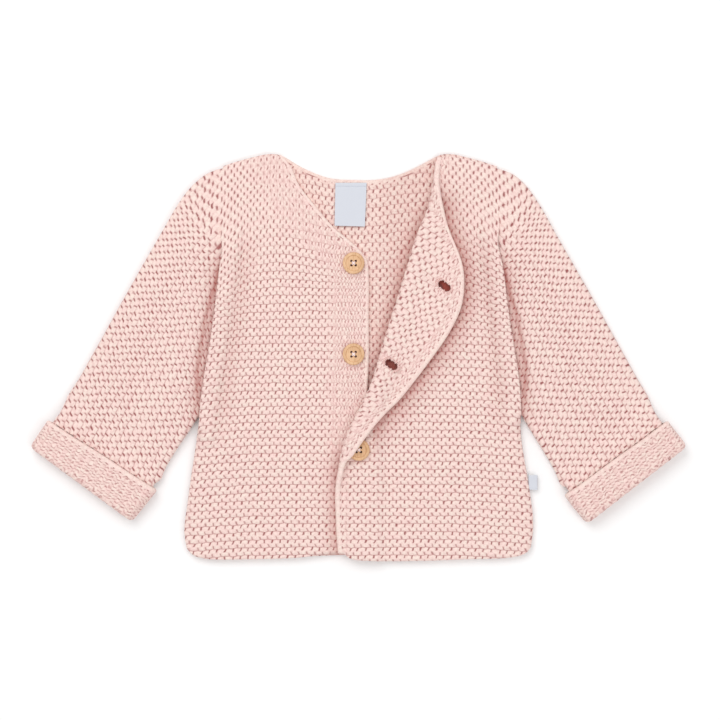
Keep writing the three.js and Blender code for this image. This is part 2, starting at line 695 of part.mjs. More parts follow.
// A sleeve and its turned-up cuff, as one tube of cloth
function makeSleeve(sleeve) {
  const topCurve = curveOf(sleeve.top, 'x', 'y');
  const bottomCurve = curveOf(sleeve.bottom, 'x', 'y');
  const outer = sleeve.side < 0 ? sideAt.left : sideAt.right;
  const armhole = (across) => {
    const t = across * ARMPIT;
    const point = outer.getPoint(t);
    point.x += sleeve.side * (ARMHOLE_GAP - tuckAt(t));
    return point;
  };
  const startLine = (across) => {
    const point = armhole(across);
    point.add(topCurve.getPoint(0).sub(armhole(0)).multiplyScalar(1 - across));
    return point.add(bottomCurve.getPoint(0).sub(armhole(1)).multiplyScalar(across));
  };
  const endLine = (across) => topCurve.getPoint(1).lerp(bottomCurve.getPoint(1), across);
  const length = topCurve.getLength();
  const shareBefore = (curve, rows, row) => {
    const place = new THREE.Vector3(rows[row].x, rows[row].y, 0);
    return 1 - place.distanceTo(curve.getPoint(1)) / curve.getLength();
  };
  const cuffStart = shareBefore(topCurve, sleeve.top, sleeve.cuffRow.top);
  const cuffStartBelow = shareBefore(bottomCurve, sleeve.bottom, sleeve.cuffRow.bottom);
  const below = (t) =>
    t < cuffStart
      ? (t / cuffStart) * cuffStartBelow
      : mix(cuffStartBelow, 1, (t - cuffStart) / (1 - cuffStart));
  const patch = patchBetween(
    startLine,
    endLine,
    (t) => topCurve.getPointAt(clamp01(t)),
    (t) => bottomCurve.getPointAt(clamp01(below(t)))
  );

  const foldAt = 1 - LAYER / 2 / length;
  const stations = [];
  for (const along of edgedSteps(SLEEVE_STEPS, length * cuffStart, true, false)) {
    stations.push({ along: along * cuffStart, layer: 0, bend: 0 });
  }
  for (let i = 1; i <= CUFF_STEPS; i += 1) {
    const along = mix(cuffStart, 1, i / CUFF_STEPS) - LAYER / 2 / length;
    stations.push({ along, layer: 0, bend: 0 });
  }
  for (let i = 1; i < CUFF_BEND_STEPS; i += 1) {
    stations.push({ along: foldAt, layer: 0, bend: (Math.PI * i) / CUFF_BEND_STEPS });
  }
  for (const step of edgedSteps(CUFF_STEPS, length * (1 - cuffStart), false, true)) {
    stations.push({ along: mix(foldAt, cuffStart, step), layer: 1, bend: 0 });
  }

  const points = stations.map(({ along, layer, bend }) => {
    const out = layer === 1 ? 1 : (1 - Math.cos(bend)) / 2;
    const t = along + (LAYER / 2 / length) * Math.sin(bend);
    const width = patch(t, 0).distanceTo(patch(t, 1));
    const intoRamp = (t - cuffStart) * length + CUFF_RAMP;
    const lifted = smooth(intoRamp / (CUFF_RAMP * CUFF_RAMP_SHARE));
    const loft = SLEEVE_LOFT * smooth(t * LOFT_ONSET) * (1 - CUFF_FLATTENING * lifted);
    const halfHeight = LAYER / 2 + loft / 2 + LAYER * out;
    const inside = LAYER * lifted * (1 - out);
    const inset = WALL / 2 + CUFF_NARROWING * inside;
    const halfWidth = width / 2 - inset + CUFF_STAND_OFF * out;
    const base = BACK_Z + inside;
    const crownFade = smooth(t * CROWN_ONSET) * (1 - lifted);
    return flattenedRing(halfWidth, halfHeight).map(({ across, high: up }) => {
      const share = 0.5 + (across * halfWidth) / width;
      const point = patch(t, share);
      const narrowed = smooth(CROWN_NARROWING * (1 - Math.abs(across)));
      const crown = up > 0.5 ? creaseHeight(sleeve.name, point.x, point.y) * narrowed : 0;
      return point.setZ(base + halfHeight * (1 + up) + crown * crownFade);
    });
  });
  if (sleeve.side > 0) points.forEach((ring) => ring.reverse());
  const share = edgeShares(points.length);
  return clothWall(points, (i) => share[i], true);
}

function makeButton() {
  const radius = BUTTON_DIAMETER / 2;
  const dish = radius - BUTTON_RIM_WIDTH;
  const round = BUTTON_EDGE_ROUND;
  const profile = [
    [0, 0],
    [radius - 1.6 * round, 0],
    [radius - 0.4 * round, 0.4 * round],
    [radius, 1.2 * round],
    [radius, BUTTON_HEIGHT - 1.2 * round],
    [radius - 0.4 * round, BUTTON_HEIGHT - 0.4 * round],
    [radius - 1.4 * round, BUTTON_HEIGHT],
    [dish + BUTTON_RIM_SLOPE, BUTTON_HEIGHT - BUTTON_RIM_DROP],
    [dish - BUTTON_RIM_SLOPE, BUTTON_HEIGHT - BUTTON_DISH_DEPTH],
    [0, BUTTON_HEIGHT - BUTTON_DISH_DEPTH],
  ];
  const outline = profile.map(([r, z]) => new THREE.Vector2(r, z));
  const lathe = new THREE.LatheGeometry(outline, BUTTON_SIDES);
  lathe.rotateX(Math.PI / 2);
  let solid = solidOf(lathe);
  for (const across of [-0.5, 0.5]) {
    for (const up of [-0.5, 0.5]) {
      const bore = BUTTON_HOLE_DIAMETER / 2;
      const hole = new THREE.CylinderGeometry(bore, bore, CUT_LENGTH, BUTTON_HOLE_SIDES);
      hole.rotateX(Math.PI / 2);
      hole.translate(across * BUTTON_HOLE_SPACING, up * BUTTON_HOLE_SPACING, 0);
      solid = solid.subtract(solidOf(hole));
    }
  }
  return geometryOf(solid);
}

// A label is a thin slab of satin; the neck one narrows a little and leans as it hangs
function makeNeckLabel() {
  const { left, right, top, bottom, lean } = NECK_LABEL;
  const shape = new THREE.Shape([
    new THREE.Vector2(left - lean, bottom),
    new THREE.Vector2(right - 2 * lean, bottom - lean),
    new THREE.Vector2(right, top),
    new THREE.Vector2(left, top),
  ]);
  const geometry = new THREE.ExtrudeGeometry(shape, { depth: LABEL_THICK, bevelEnabled: false });
  geometry.translate(0, 0, BACK_Z + WALL / 2 + SEAM_GAP);
  return geometry;
}

function makeSideLabel() {
  const { innerTop, innerBottom, outer, top, bottom } = SIDE_LABEL;
  const shape = new THREE.Shape([
    new THREE.Vector2(innerBottom, bottom),
    new THREE.Vector2(outer, bottom),
    new THREE.Vector2(outer, top),
    new THREE.Vector2(innerTop, top),
  ]);
  const geometry = new THREE.ExtrudeGeometry(shape, { depth: LABEL_THICK, bevelEnabled: false });
  geometry.translate(0, 0, BACK_Z + LAYER / 2 - LABEL_THICK / 2);
  return geometry;
}

const knit = (color) => new THREE.MeshStandardMaterial({ color, roughness: 0.95, metalness: 0 });
const materials = {
  body: knit(0xf0d1c9),
  sleeve: knit(0xe8c7c0),
  inside: knit(0xedcbc4),
  wood: new THREE.MeshStandardMaterial({ color: 0xdeb480, roughness: 0.55, metalness: 0 }),
  satin: new THREE.MeshStandardMaterial({ color: 0xd8dbe3, roughness: 0.45, metalness: 0 }),
};

const cardigan = new THREE.Group();

function addPiece(name, geometry, material) {
  const mesh = new THREE.Mesh(geometry, material.clone());
  mesh.name = name;
  cardigan.add(mesh);
  return mesh;
}

addPiece('back', makeBack(), materials.inside);
addPiece('front_right', makeButtonFront(), materials.body);
addPiece('front_left', makeTurnedFront(), materials.body);
for (const sleeve of sleeves) addPiece(sleeve.name, makeSleeve(sleeve), materials.sleeve);
for (const place of buttonPlaces) {
  const button = addPiece(place.name, makeButton(), materials.wood);
  button.position.set(place.x, place.y, place.restsOn + WALL / 2 + SEAM_GAP);
}
addPiece('neck_label', makeNeckLabel(), materials.satin);
addPiece('side_label', makeSideLabel(), materials.satin);

export default cardigan;
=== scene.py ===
import math

import bpy
import numpy as np
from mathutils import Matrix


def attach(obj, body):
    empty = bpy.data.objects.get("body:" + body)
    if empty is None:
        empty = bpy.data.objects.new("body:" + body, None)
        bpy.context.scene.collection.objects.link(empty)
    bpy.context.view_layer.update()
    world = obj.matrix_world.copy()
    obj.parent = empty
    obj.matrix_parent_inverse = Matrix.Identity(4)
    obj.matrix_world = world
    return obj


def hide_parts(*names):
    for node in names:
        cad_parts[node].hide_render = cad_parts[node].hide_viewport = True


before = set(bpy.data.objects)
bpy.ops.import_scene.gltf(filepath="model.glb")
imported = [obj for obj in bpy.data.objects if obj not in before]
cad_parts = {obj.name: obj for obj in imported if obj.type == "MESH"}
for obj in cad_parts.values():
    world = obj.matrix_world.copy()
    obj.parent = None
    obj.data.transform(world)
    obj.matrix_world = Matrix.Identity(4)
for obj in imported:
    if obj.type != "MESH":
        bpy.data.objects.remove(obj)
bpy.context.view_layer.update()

# A baby's garter-stitch cardigan, lying flat on its back with one front turned open.
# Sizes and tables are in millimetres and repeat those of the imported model.
MM = 0.001

# Cloth
WALL = 3
LAYER = 3.3
BACK_Z = 1.5
FRONT_Z = 4.8
EDGE_STEPS = (0, 0.2, 0.6, 1.1, 1.8)
EDGE_ROUND = 1.8

# Knitting: widths of a stitch, heights of a ridge and how proud the stitches stand
STITCH = 5.3
TOP_STITCH = {-1: 4.5, 1: 5.0}
RIDGE = 5.4
TOP_RIDGE = 6.25
SLEEVE_RIDGE = (4.76, 5.6)
SLEEVE_LEAN = 0.32
STITCH_RISE = 0.7
STITCH_LEVEL = 0.72
GRID = 0.95
BACK_GRID = 1.15
WIDE_STEP = 14

# Shoulder line of the side with the buttons, from the neck outwards
SHOULDER = [(53.6, 140.2), (62, 140.8), (72, 138.6), (82, 135.8), (91.2, 132.6)]
BACK_NECK = [
    (-53.6, 140), (-40.4, 132.4), (-30, 127.4), (-19.7, 124), (-6, 122.9),
    (10, 122.9), (22, 125), (32, 128.6), (42.4, 133.8), (53.6, 139.4),
]

# Side of the body from the shoulder down: left X, right X, Y and how far it lies over the sleeve
BODY_SIDE = [
    (-91.2, 93.2, 132.6, 0), (-92, 94.2, 108, 0), (-93, 95.8, 82, 0.2), (-96, 99.8, 62, 1),
    (-98.6, 102.4, 40, 1), (-101.8, 105.8, 16, 1), (-105.8, 110, -8, 1), (-109, 112, -30, 1),
    (-110.4, 111.6, -48, 0.4), (-112.8, 113.4, -64, 0), (-115.6, 116.8, -82, 0),
    (-118, 119.4, -100, 0), (-120.2, 121, -118, 0), (-118.6, 119.2, -130, 0),
]
HEM_LEFT = [
    (-118.6, -130), (-115, -135.4), (-107, -138.4), (-66, -138.8), (-43, -138), (-16, -134.8),
    (6.6, -134.4),
]
BACK_HEM = [
    (-117.6, -129), (-114, -134.2), (-106, -137.2), (-60, -137.4), (0, -135), (60, -138),
    (106, -136.4), (114, -133.4), (118.2, -129),
]
BUTTON_FRONT_EDGE = [
    (-53.6, 140.2), (-47, 132.6), (-41, 119.4), (-29.4, 104.6), (-16.8, 90), (-6.4, 81.4),
    (1.6, 74), (6, 67), (7.2, 56), (7.2, 30), (7.2, 0), (6.4, -24), (6.6, -70), (6.6, -134.4),
]

# The front that is turned open, by lines of its knitting: fold X and Y, free edge X and Y,
# side X and Y, how round the fold is and how far it is turned over
TURNED_FRONT = [
    (54.4, 138.8, 54.4, 138.8, 93.2, 132.6, 2.4, 0),
    (51.4, 121.6, 57.2, 117.6, 94, 112, 2.4, 0.85),
    (47.4, 103.4, 60.8, 94, 94.8, 95, 2.4, 1),
    (39.6, 84, 72.2, 61.6, 96.2, 79, 2.5, 1),
    (33.4, 63.6, 71.4, 37.4, 99.8, 61.6, 2.6, 1),
    (27.2, 43.4, 63.2, 18.4, 102.2, 43, 2.6, 1),
    (20.6, 23, 51.6, 1.2, 104.8, 23.4, 2.6, 1),
    (14.6, 3, 39.8, -14.6, 108, 4, 2.5, 1),
    (9, -15.8, 28.2, -29, 110.8, -15, 2.5, 1),
    (2, -32, 15.4, -41.6, 112, -32, 2.7, 1),
    (-6, -47, 5, -54.8, 111.8, -48, 3.4, 1),
    (-11.4, -62, -3.2, -66.4, 113.4, -63, 3.4, 1),
    (-14, -76.4, -11, -78, 116, -78, 3.2, 0.72),
    (-15.4, -92, -15.4, -92, 118.4, -93, 2.6, 0.12),
    (-15.6, -112, -15.6, -112, 120.6, -112, 2.4, 0),
    (-14.2, -134.8, -14.2, -134.8, 119.2, -130, 2.4, 0),
]
HEM_RIGHT = [
    (-10.4, -134.8), (-5.6, -138.4), (8.6, -140), (40, -140.2), (74, -139), (106, -137.6),
    (115.4, -134.8), (119.2, -130),
]

# Outlines of the sleeves, and the row of each at which the turned-up cuff starts
SLEEVES = {
    "sleeve_right": {
        "side": -1,
        "top": [
            (-91.6, 132.4), (-102.6, 128.8), (-112.8, 121), (-121.4, 110.6), (-134.8, 88.4),
            (-159, 46.4), (-181, 7.2), (-196, -18.6), (-213.6, -43), (-225.4, -60.4),
        ],
        "bottom": [
            (-105.6, -37), (-112.4, -42.6), (-119, -52.6), (-126, -63.6), (-133.4, -76),
            (-139.4, -90.4), (-155.8, -111.6),
        ],
    },
    "sleeve_left": {
        "side": 1,
        "top": [
            (93.6, 132.6), (104.6, 128.4), (115, 119.6), (125, 105.4), (135.4, 87),
            (159.4, 45.2), (182, 5), (196.6, -20.6), (212.6, -43.4), (225.4, -60),
        ],
        "bottom": [
            (108.8, -33), (113, -39), (118.8, -49.4), (127.8, -64), (135.8, -78),
            (142.4, -94), (157, -113),
        ],
    },
}
CUFF_ROW_TOP = 8
CUFF_ROW_BOTTOM = 5

# Lines that the knitting follows on each side: a shoulder slope and a straight upper sleeve edge
SHOULDER_SLOPE = 0.281
SLEEVE_LINE = {-1: (-134.8, 88.4), 1: (135.4, 87)}
SLEEVE_AXIS = (0.485, -0.875)
CREASE_TOP = {-1: (-95, 72), 1: (98, 72)}
BEND_RADIUS = 51
BEND_RIDGES = 9.3
BODY_TOP = 140.6
SLOPE_FROM = 62.5
SLOPE_TO = 94
DROOP_FROM = 82

# Long soft creases: from X and Y, to X and Y, height and width
CREASES = {
    "front_right": [
        (-84, 52, -62, -10, 0.9, 9), (-98, -40, -70, -96, 0.8, 11), (-34, 84, -52, 46, 0.6, 9),
    ],
    "front_left": [
        (88, 44, 66, -14, 0.9, 9), (100, -44, 70, -92, 0.8, 11), (30, -52, 60, -76, 0.6, 10),
    ],
    "sleeve_right": [(-122, 92, -152, 22, 0.9, 9), (-118, 6, -146, -52, 1.1, 8)],
    "sleeve_left": [(124, 92, 154, 22, 0.9, 9), (120, 4, 148, -54, 1.1, 8)],
}

BUTTON_PLACES = {
    "button_top": (-3.4, 65.4, FRONT_Z),
    "button_middle": (-3.4, 2.6, FRONT_Z),
    "button_bottom": (0.2, -63.2, FRONT_Z + LAYER),
}
FLAP_SLITS = [(59.2, 49.6), (22.6, -4.6)]
SLIT_LENGTH = 10.4
SLIT_WIDTH = 5.2
SLIT_TURN = -0.63
SLIT_STITCHES = 18

# Painted shade on the layer below each buttonhole and button: how dark it is, and how far round it
UNDER_HOLES = [
    (*FLAP_SLITS[0], 2.0, 7), (*FLAP_SLITS[1], 1.8, 7),
    *[(x, y, 1.7, 1.5) for x, y, _ in BUTTON_PLACES.values()],
]

# A button: the steps from its rim into its dish are widths and depths
BUTTON_DIAMETER = 15
BUTTON_HEIGHT = 3
BUTTON_RIM_ROUND = 0.9
BUTTON_STEPS = ((1.9, 0), (0.5, -0.75), (0.4, -0.1))
BUTTON_DISH = 0.85
HOLE_SPACING = 3
HOLE_RADIUS = 0.85

NECK_LABEL = {"left": -15.9, "right": 5.6, "top": 121, "bottom": 91.4, "lean": 0.6}
SIDE_LABEL = {"inner": 117.6, "outer": 123.6, "top": -81, "bottom": -91, "middle": 3.15, "bend": 0.45}
LABEL_SEWN_AT = 118.6

# Across and up: the sizes that the body's grids are spaced for
BACK_SIZE = (222, 272)
BUTTON_FRONT_SIZE = (116, 270)
TURNED_FRONT_SIZE = (108, 272)

# How the layers lie: the turned front's climb over the other one, the body's edge over the
# sleeve, and the sleeve's tuck under it, by shares of the body's side from the shoulder down
OVERLAP_EDGE = 10.4
OVERLAP_SLOPE = 9
CREASE_FLAT = 7
CREASE_SLOPE = 9
CREASE_LIFT = LAYER + 0.7
SLEEVE_TUCK = 4
ARMHOLE_GAP = 0.5
JOINED = 1.9
JOINED_TO = 0.14
TUCK_START = 0.15
TUCK_FULL = 0.25
ARMPIT = 0.575
SEAM_Z = FRONT_Z - LAYER / 2
SEAM_REACH = 6

# The turned cloth: how soon it settles, how its free edge lifts, and where the fold stays round
FOLD_SETTLE = 16
EDGE_LIFT = 1.2
KEEP_ROUND_FROM = 0.6
FOLD_STEPS = 12

# Sleeves: how full they are, how far the cuff stands out, and the grid round them
SLEEVE_LOFT = 1.4
CUFF_STAND_OFF = 0.5
CUFF_RAMP = 26
SLEEVE_FLAT_STEPS = 76
SLEEVE_ROUND_STEPS = 10

# The slot that each cloth piece's material fills
CLOTH_SLOTS = {
    "back": "knit_inside", "front_right": "knit_body", "front_left": "knit_body",
    "sleeve_right": "knit_sleeve", "sleeve_left": "knit_sleeve",
}


def smooth(t):
    t = np.clip(t, 0, 1)
    return t * t * (3 - 2 * t)


def mix(a, b, t):
    return a + (b - a) * t


def unit(v):
    return v / np.maximum(np.linalg.norm(v, axis=-1, keepdims=True), 1e-9)


class Line:
    """A smooth line through the points of a table, read by its rows or by its length."""

    STEPS = 24

    def __init__(self, rows):
        p = np.array(rows, float)
        p = np.vstack([2 * p[0] - p[1], p, 2 * p[-1] - p[-2]])
        w = np.arange(self.STEPS)[:, None] / self.STEPS
        parts = []
        for a, b, c, d in zip(p, p[1:], p[2:], p[3:]):
            before, here, after = (math.dist(u, v) ** 0.5 for u, v in ((a, b), (b, c), (c, d)))
            leave = here * ((b - a) / before - (c - a) / (before + here) + (c - b) / here)
            meet = here * ((c - b) / here - (d - b) / (here + after) + (d - c) / after)
            bend = 3 * (c - b) - 2 * leave - meet
            parts.append(b + leave * w + bend * w**2 + (2 * (b - c) + leave + meet) * w**3)
        self.points = np.vstack([*parts, p[-2:-1]])
        self.share = np.linspace(0, 1, len(self.points))
        steps = np.linalg.norm(np.diff(self.points, axis=0), axis=1)
        self.length = np.concatenate([[0], np.cumsum(steps)])

    def read(self, t, scale):
        return np.stack([np.interp(t, scale, self.points[:, k]) for k in (0, 1)], -1)

    def at(self, t):
        return self.read(t, self.share)

    def along(self, t):
        return self.read(np.asarray(t) * self.length[-1], self.length)

    def heading(self, t):
        return unit(self.at(np.minimum(t + 1e-3, 1)) - self.at(np.maximum(t - 1e-3, 0)))


def column(rows, key):
    """A number column of a table, blended between its rows."""
    values = np.array([row[key] for row in rows], float)

    def read(t):
        at = np.clip(t, 0, 1) * (len(values) - 1)
        row = np.minimum(len(values) - 2, np.floor(at).astype(int))
        return mix(values[row], values[row + 1], smooth(at - row))

    return read


def patch(left, right, bottom, top):
    """The sheet between four lines, read by shares across and up."""
    corners = [bottom(0.0), bottom(1.0), top(0.0), top(1.0)]

    def read(across, up):
        across, up = np.broadcast_arrays(np.asarray(across, float), np.asarray(up, float))
        a, u = across[..., None], up[..., None]
        sides = left(up) * (1 - a) + right(up) * a
        ends = bottom(across) * (1 - u) + top(across) * u
        low = corners[0] * (1 - a) + corners[1] * a
        high = corners[2] * (1 - a) + corners[3] * a
        return sides + ends - low * (1 - u) - high * u

    return read


def spaced(pitch, length, start=True, end=True):
    """Steps from 0 to 1 over a length, close together where they round a cut edge."""
    near = np.array(EDGE_STEPS) / length
    low = near[-1] if start else 0
    high = 1 - near[-1] if end else 1
    inner = np.linspace(low, high, round(length * (high - low) / pitch) + 1)
    before = near[:-1] if start else []
    after = 1 - near[:-1][::-1] if end else []
    return np.concatenate([before, inner, after])


def rounding(distance):
    """Share of the full thickness at a distance from a cut edge."""
    return np.sqrt(1 - (1 - np.clip(distance / EDGE_ROUND, 0, 1)) ** 2)


def crease_height(name, x, y):
    """Height of the long soft creases of a piece."""
    height = np.zeros_like(x)
    for x0, y0, x1, y1, high, wide in CREASES.get(name, []):
        run = math.hypot(x1 - x0, y1 - y0)
        along = ((x - x0) * (x1 - x0) + (y - y0) * (y1 - y0)) / run**2
        off = ((x - x0) * (y1 - y0) - (y - y0) * (x1 - x0)) / run
        height += high * np.sin(np.pi * np.clip(along, 0, 1)) ** 2 * np.exp(-((off / wide) ** 2))
    return height


def soft_least(a, b, reach):
    """The lesser of two values, rounded where they pass each other."""
    near = np.clip(reach - np.abs(a - b), 0, None) / reach
    return np.minimum(a, b) - near**2 * reach / 4


def wander(x, y, phase):
    """Small uneven drift of hand-guided knitting, between about -1 and 1."""
    return (
        np.sin(0.23 * x + 1.3 * np.sin(0.11 * y + phase) + phase)
        + np.sin(0.31 * y + 1.1 * np.sin(0.17 * x - phase))
        + 0.7 * np.sin(0.61 * x - 0.47 * y + 2 * phase)
    ) / 2.7


def ridges_down(depth):
    """Ridges counted down the body, closer together towards the hem."""
    steps = np.linspace(-60, 320, 381)
    pitch = mix(TOP_RIDGE, RIDGE, smooth(steps / 170))
    count = np.cumsum(1 / pitch)
    return np.interp(depth, steps, count - np.interp(0, steps, count))


def ridges_from_outline(x, y, side, shoulder_x=None):
    """Ridges below the shoulder and inside the upper sleeve edge, both met smoothly."""
    out = x * side if shoulder_x is None else shoulder_x
    below = BODY_TOP - SHOULDER_SLOPE * 9 * np.log1p(np.exp((out - SLOPE_FROM) / 9)) - y
    line_x, line_y = SLEEVE_LINE[side]
    along = (x - line_x) * side * SLEEVE_AXIS[0] + (y - line_y) * SLEEVE_AXIS[1]
    inside = (x - line_x) * side * SLEEVE_AXIS[1] - (y - line_y) * SLEEVE_AXIS[0]
    pitch = mix(*SLEEVE_RIDGE, smooth((along + 20) / 200))
    body, sleeve = ridges_down(below), inside / pitch
    return soft_least(body, sleeve, 3 + 0.3 * np.clip(np.minimum(body, sleeve), 0, 10))


def knit_sleeve(x, y, side):
    """Stitches and ridges on a sleeve, and how many stitches the next ridge is stepped by.

    Round the top of the crease every ridge is shorter than the one outside it.
    """
    pivot_x, pivot_y = CREASE_TOP[side]
    out, up = (x - pivot_x) * side, y - pivot_y
    widest = math.atan2(-SLEEVE_AXIS[1], SLEEVE_AXIS[0])
    angle = np.arctan2(out, up)
    angle = np.where(angle < -0.5 * np.pi, np.pi, angle)
    turn = np.clip(angle, 0, widest)
    straight = np.where(angle > widest, out * SLEEVE_AXIS[0] + up * SLEEVE_AXIS[1], 0)
    ridge = ridges_from_outline(x, y, side)
    past = (BEND_RADIUS * (1 - 0.5 / BEND_RIDGES) * turn + straight) / STITCH
    past = past + np.where(angle < 0, out / TOP_STITCH[side], 0)
    s = side * (abs(pivot_x) / TOP_STITCH[side] + past - SLEEVE_LEAN * ridge * turn / widest)
    return s, ridge, -side * BEND_RADIUS / BEND_RIDGES * turn / STITCH


def knit_body(x, y, side):
    """Stitches and ridges on a front or the back, whose ridges droop towards the sleeves."""
    high = np.maximum(y, DROOP_FROM)
    out = x * side
    wide = SLOPE_TO - SLOPE_FROM
    late = np.clip((out - SLOPE_FROM) / wide, 0, 1) ** (1 + 1.2 * smooth((134 - high) / 50))
    shoulder_x = np.where((out > SLOPE_FROM) & (out < SLOPE_TO), SLOPE_FROM + wide * late, out)
    droop = ridges_down(BODY_TOP - high) - ridges_from_outline(x, high, side, shoulder_x)
    fade = 1 - 0.9 * smooth((88 - y) / 84)
    width = mix(TOP_STITCH[side], STITCH + 0.1, smooth((30 - y) / 150))
    return x / width, ridges_down(BODY_TOP - y) - droop * fade


def stitch_height(s, t, band):
    """Height of the stitches, from 0 in the deepest gaps to 1 on their crowns."""
    ridge = np.abs(np.sin(np.pi * t)) ** 0.8
    brick = -np.cos(2 * np.pi * s) * np.sin(2 * np.pi * t)
    coarse = 0.62 * ridge + 0.38 * (0.5 + 0.5 * brick)
    return mix(coarse, 0.75 + 0.12 * ridge, band)


def normals_of(points, closed):
    """Directions out of the cloth, read past places where columns of the grid lie together."""
    if closed:
        across = np.roll(points, -1, 1) - np.roll(points, 1, 1)
    else:
        columns = np.arange(points.shape[1])
        after = np.minimum(columns + WIDE_STEP, columns[-1])
        before = np.maximum(columns - WIDE_STEP, 0)
        near, wide = np.gradient(points, axis=1), points[:, after] - points[:, before]
        across = np.where(np.linalg.norm(near, axis=-1, keepdims=True) > 0.02, near, wide)
    return unit(np.cross(across, np.gradient(points, axis=0)))


def select_only(*objects):
    bpy.ops.object.select_all(action="DESELECT")
    for piece in objects:
        piece.select_set(True)
    bpy.context.view_layer.objects.active = objects[0]


def edit_mode(selection=None):
    bpy.ops.object.mode_set(mode="EDIT")
    if selection:
        bpy.ops.mesh.select_all(action=selection)


def object_mode():
    bpy.ops.object.mode_set(mode="OBJECT")


def write_map(mesh, name, corner_of, values):
    layer = mesh.uv_layers.get(name) or mesh.uv_layers.new(name=name)
    layer.data.foreach_set("uv", values.reshape(-1, 2)[corner_of].astype(np.float32).ravel())


def cloth(name, middle, share, knit, edge, pull, bend, closed=False):
    """A wall of knitted cloth on a grid of middle points, with its stitches standing up from it.

    The maps tell the material where it is: knit counts stitches and ridges, edge holds the
    nearness to a finished edge and how fine the band is, pull holds how far the stitches are
    drawn open and how much painted shade they get in folds, creases and under holes, and
    bend holds the step from ridge to ridge and how plainly the line between two ridges shows.
    """
    rows, columns = middle.shape[:2]
    t = knit[..., 1]
    s = knit[..., 0] + np.floor(t) * bend[..., 0]
    nearness, band = edge[..., 0], edge[..., 1]
    normal = normals_of(middle, closed)
    calm = 1 - 0.9 * smooth((nearness - 0.3) / 0.2)
    lift = (stitch_height(s, t, band) - STITCH_LEVEL) * STITCH_RISE * calm
    bead = 0.35 * smooth((nearness - 0.3) / 0.3)
    half = normal * ((WALL / 2 + lift + bead) * share)[..., None]
    outer, inner = middle + half, middle - half
    faces = []
    for points in (outer, inner):
        points[..., 2] = np.maximum(points[..., 2], 0)
        bpy.ops.object.select_all(action="DESELECT")
        wide = columns + 1 if closed else columns
        bpy.ops.mesh.primitive_grid_add(x_subdivisions=wide - 1, y_subdivisions=rows - 1, size=1)
        sheet = bpy.context.object
        mesh = sheet.data
        grids = [points, knit, edge, pull, bend]
        if closed:
            first = [grid[:, :1].copy() for grid in grids]
            first[1][..., 1] = knit[:, -1:, 1]
            grids = [np.concatenate([grid, one], 1) for grid, one in zip(grids, first)]
        mesh.vertices.foreach_set("co", (grids[0] * MM).astype(np.float32).ravel())
        corner_of = np.empty(len(mesh.loops), np.int32)
        mesh.loops.foreach_get("vertex_index", corner_of)
        mesh.uv_layers[0].name = "knit"
        for map_name, values in zip(("knit", "edge", "pull", "bend"), grids[1:]):
            write_map(mesh, map_name, corner_of, values)
        mesh.update()
        faces.append(sheet)
    select_only(faces[1])
    edit_mode("SELECT")
    bpy.ops.mesh.flip_normals()
    object_mode()
    select_only(*faces)
    bpy.ops.object.join()
    piece = bpy.context.object
    edit_mode("SELECT")
    bpy.ops.mesh.remove_doubles(threshold=5e-6)
    object_mode()
    bpy.ops.object.shade_smooth()
    piece.name = piece.data.name = name
    cells = np.cross(np.diff(middle, axis=1)[:-1], np.diff(middle, axis=0)[:, :-1])
    piece["cut_area"] = float(np.linalg.norm(cells, axis=-1).sum()) * MM * MM
    return piece


# The pull map's second value is painted shade: how far the yarn colour is darkened towards the fold
# colour in creases, folds, beside the turned front and under holes.
def maps(s, t, nearness=0.0, band=0.0, drawn=0.0, painted_shade=0.0, step=0.0, line=1.0):
    """The four maps of a piece."""
    values = (s, t, nearness, band, drawn, painted_shade, step, line)
    filled = [np.broadcast_to(v, s.shape).astype(float) for v in values]
    return [np.stack(pair, -1) for pair in zip(filled[::2], filled[1::2])]


def uneven(s, t, x, y, phase):
    """Stitches and ridges, a little out of their places."""
    return s + 0.1 * wander(x, y, phase), t + 0.07 * wander(y, x, phase + 2)


side_left = Line([(row[0], row[2]) for row in BODY_SIDE])
side_right = Line([(row[1], row[2]) for row in BODY_SIDE])
side_crease = column(BODY_SIDE, 3)


def overlap_lift(x):
    return LAYER * smooth((OVERLAP_EDGE + OVERLAP_SLOPE - x) / OVERLAP_SLOPE)


def crease_lift(from_side, crease):
    settle = 1 - smooth((from_side - CREASE_FLAT) / CREASE_SLOPE)
    return CREASE_LIFT * smooth(crease * 2.2) * settle


def tuck_at(t):
    return SLEEVE_TUCK * smooth((t - TUCK_START) / (TUCK_FULL - TUCK_START))


def in_one_with_sleeve(t):
    """Where the body runs on into the sleeve with no seam, from the shoulder to the crease."""
    return 1 - smooth((t - JOINED_TO) / 0.05)


def drawn_open(x, y, side):
    """How far the stitches are drawn open, which they are along the top of the shoulders."""
    depth = ridges_from_outline(x, y, side)
    out = x * side
    place = smooth((out - 50) / 20) * (1 - 0.6 * smooth((out - 125) / 60))
    return place * (1 - smooth(depth / 8))


def seam_close(height, distance):
    """Bends a layer to the middle height between two that are sewn together at an edge."""
    return mix(SEAM_Z, height, smooth((distance + SEAM_REACH * 0.2) / (SEAM_REACH * 1.2)))


def beside_crease(from_side, t):
    """Painted shade along the body's edge where it lies over the sleeve."""
    return np.exp(-((from_side - 17) / 7) ** 2) * side_crease(t)


def distance_to(x, y, points):
    nearest = np.full(x.shape, 1e3)
    for at_x, at_y in points:
        nearest = np.minimum(nearest, np.hypot(x - at_x, y - at_y))
    return nearest


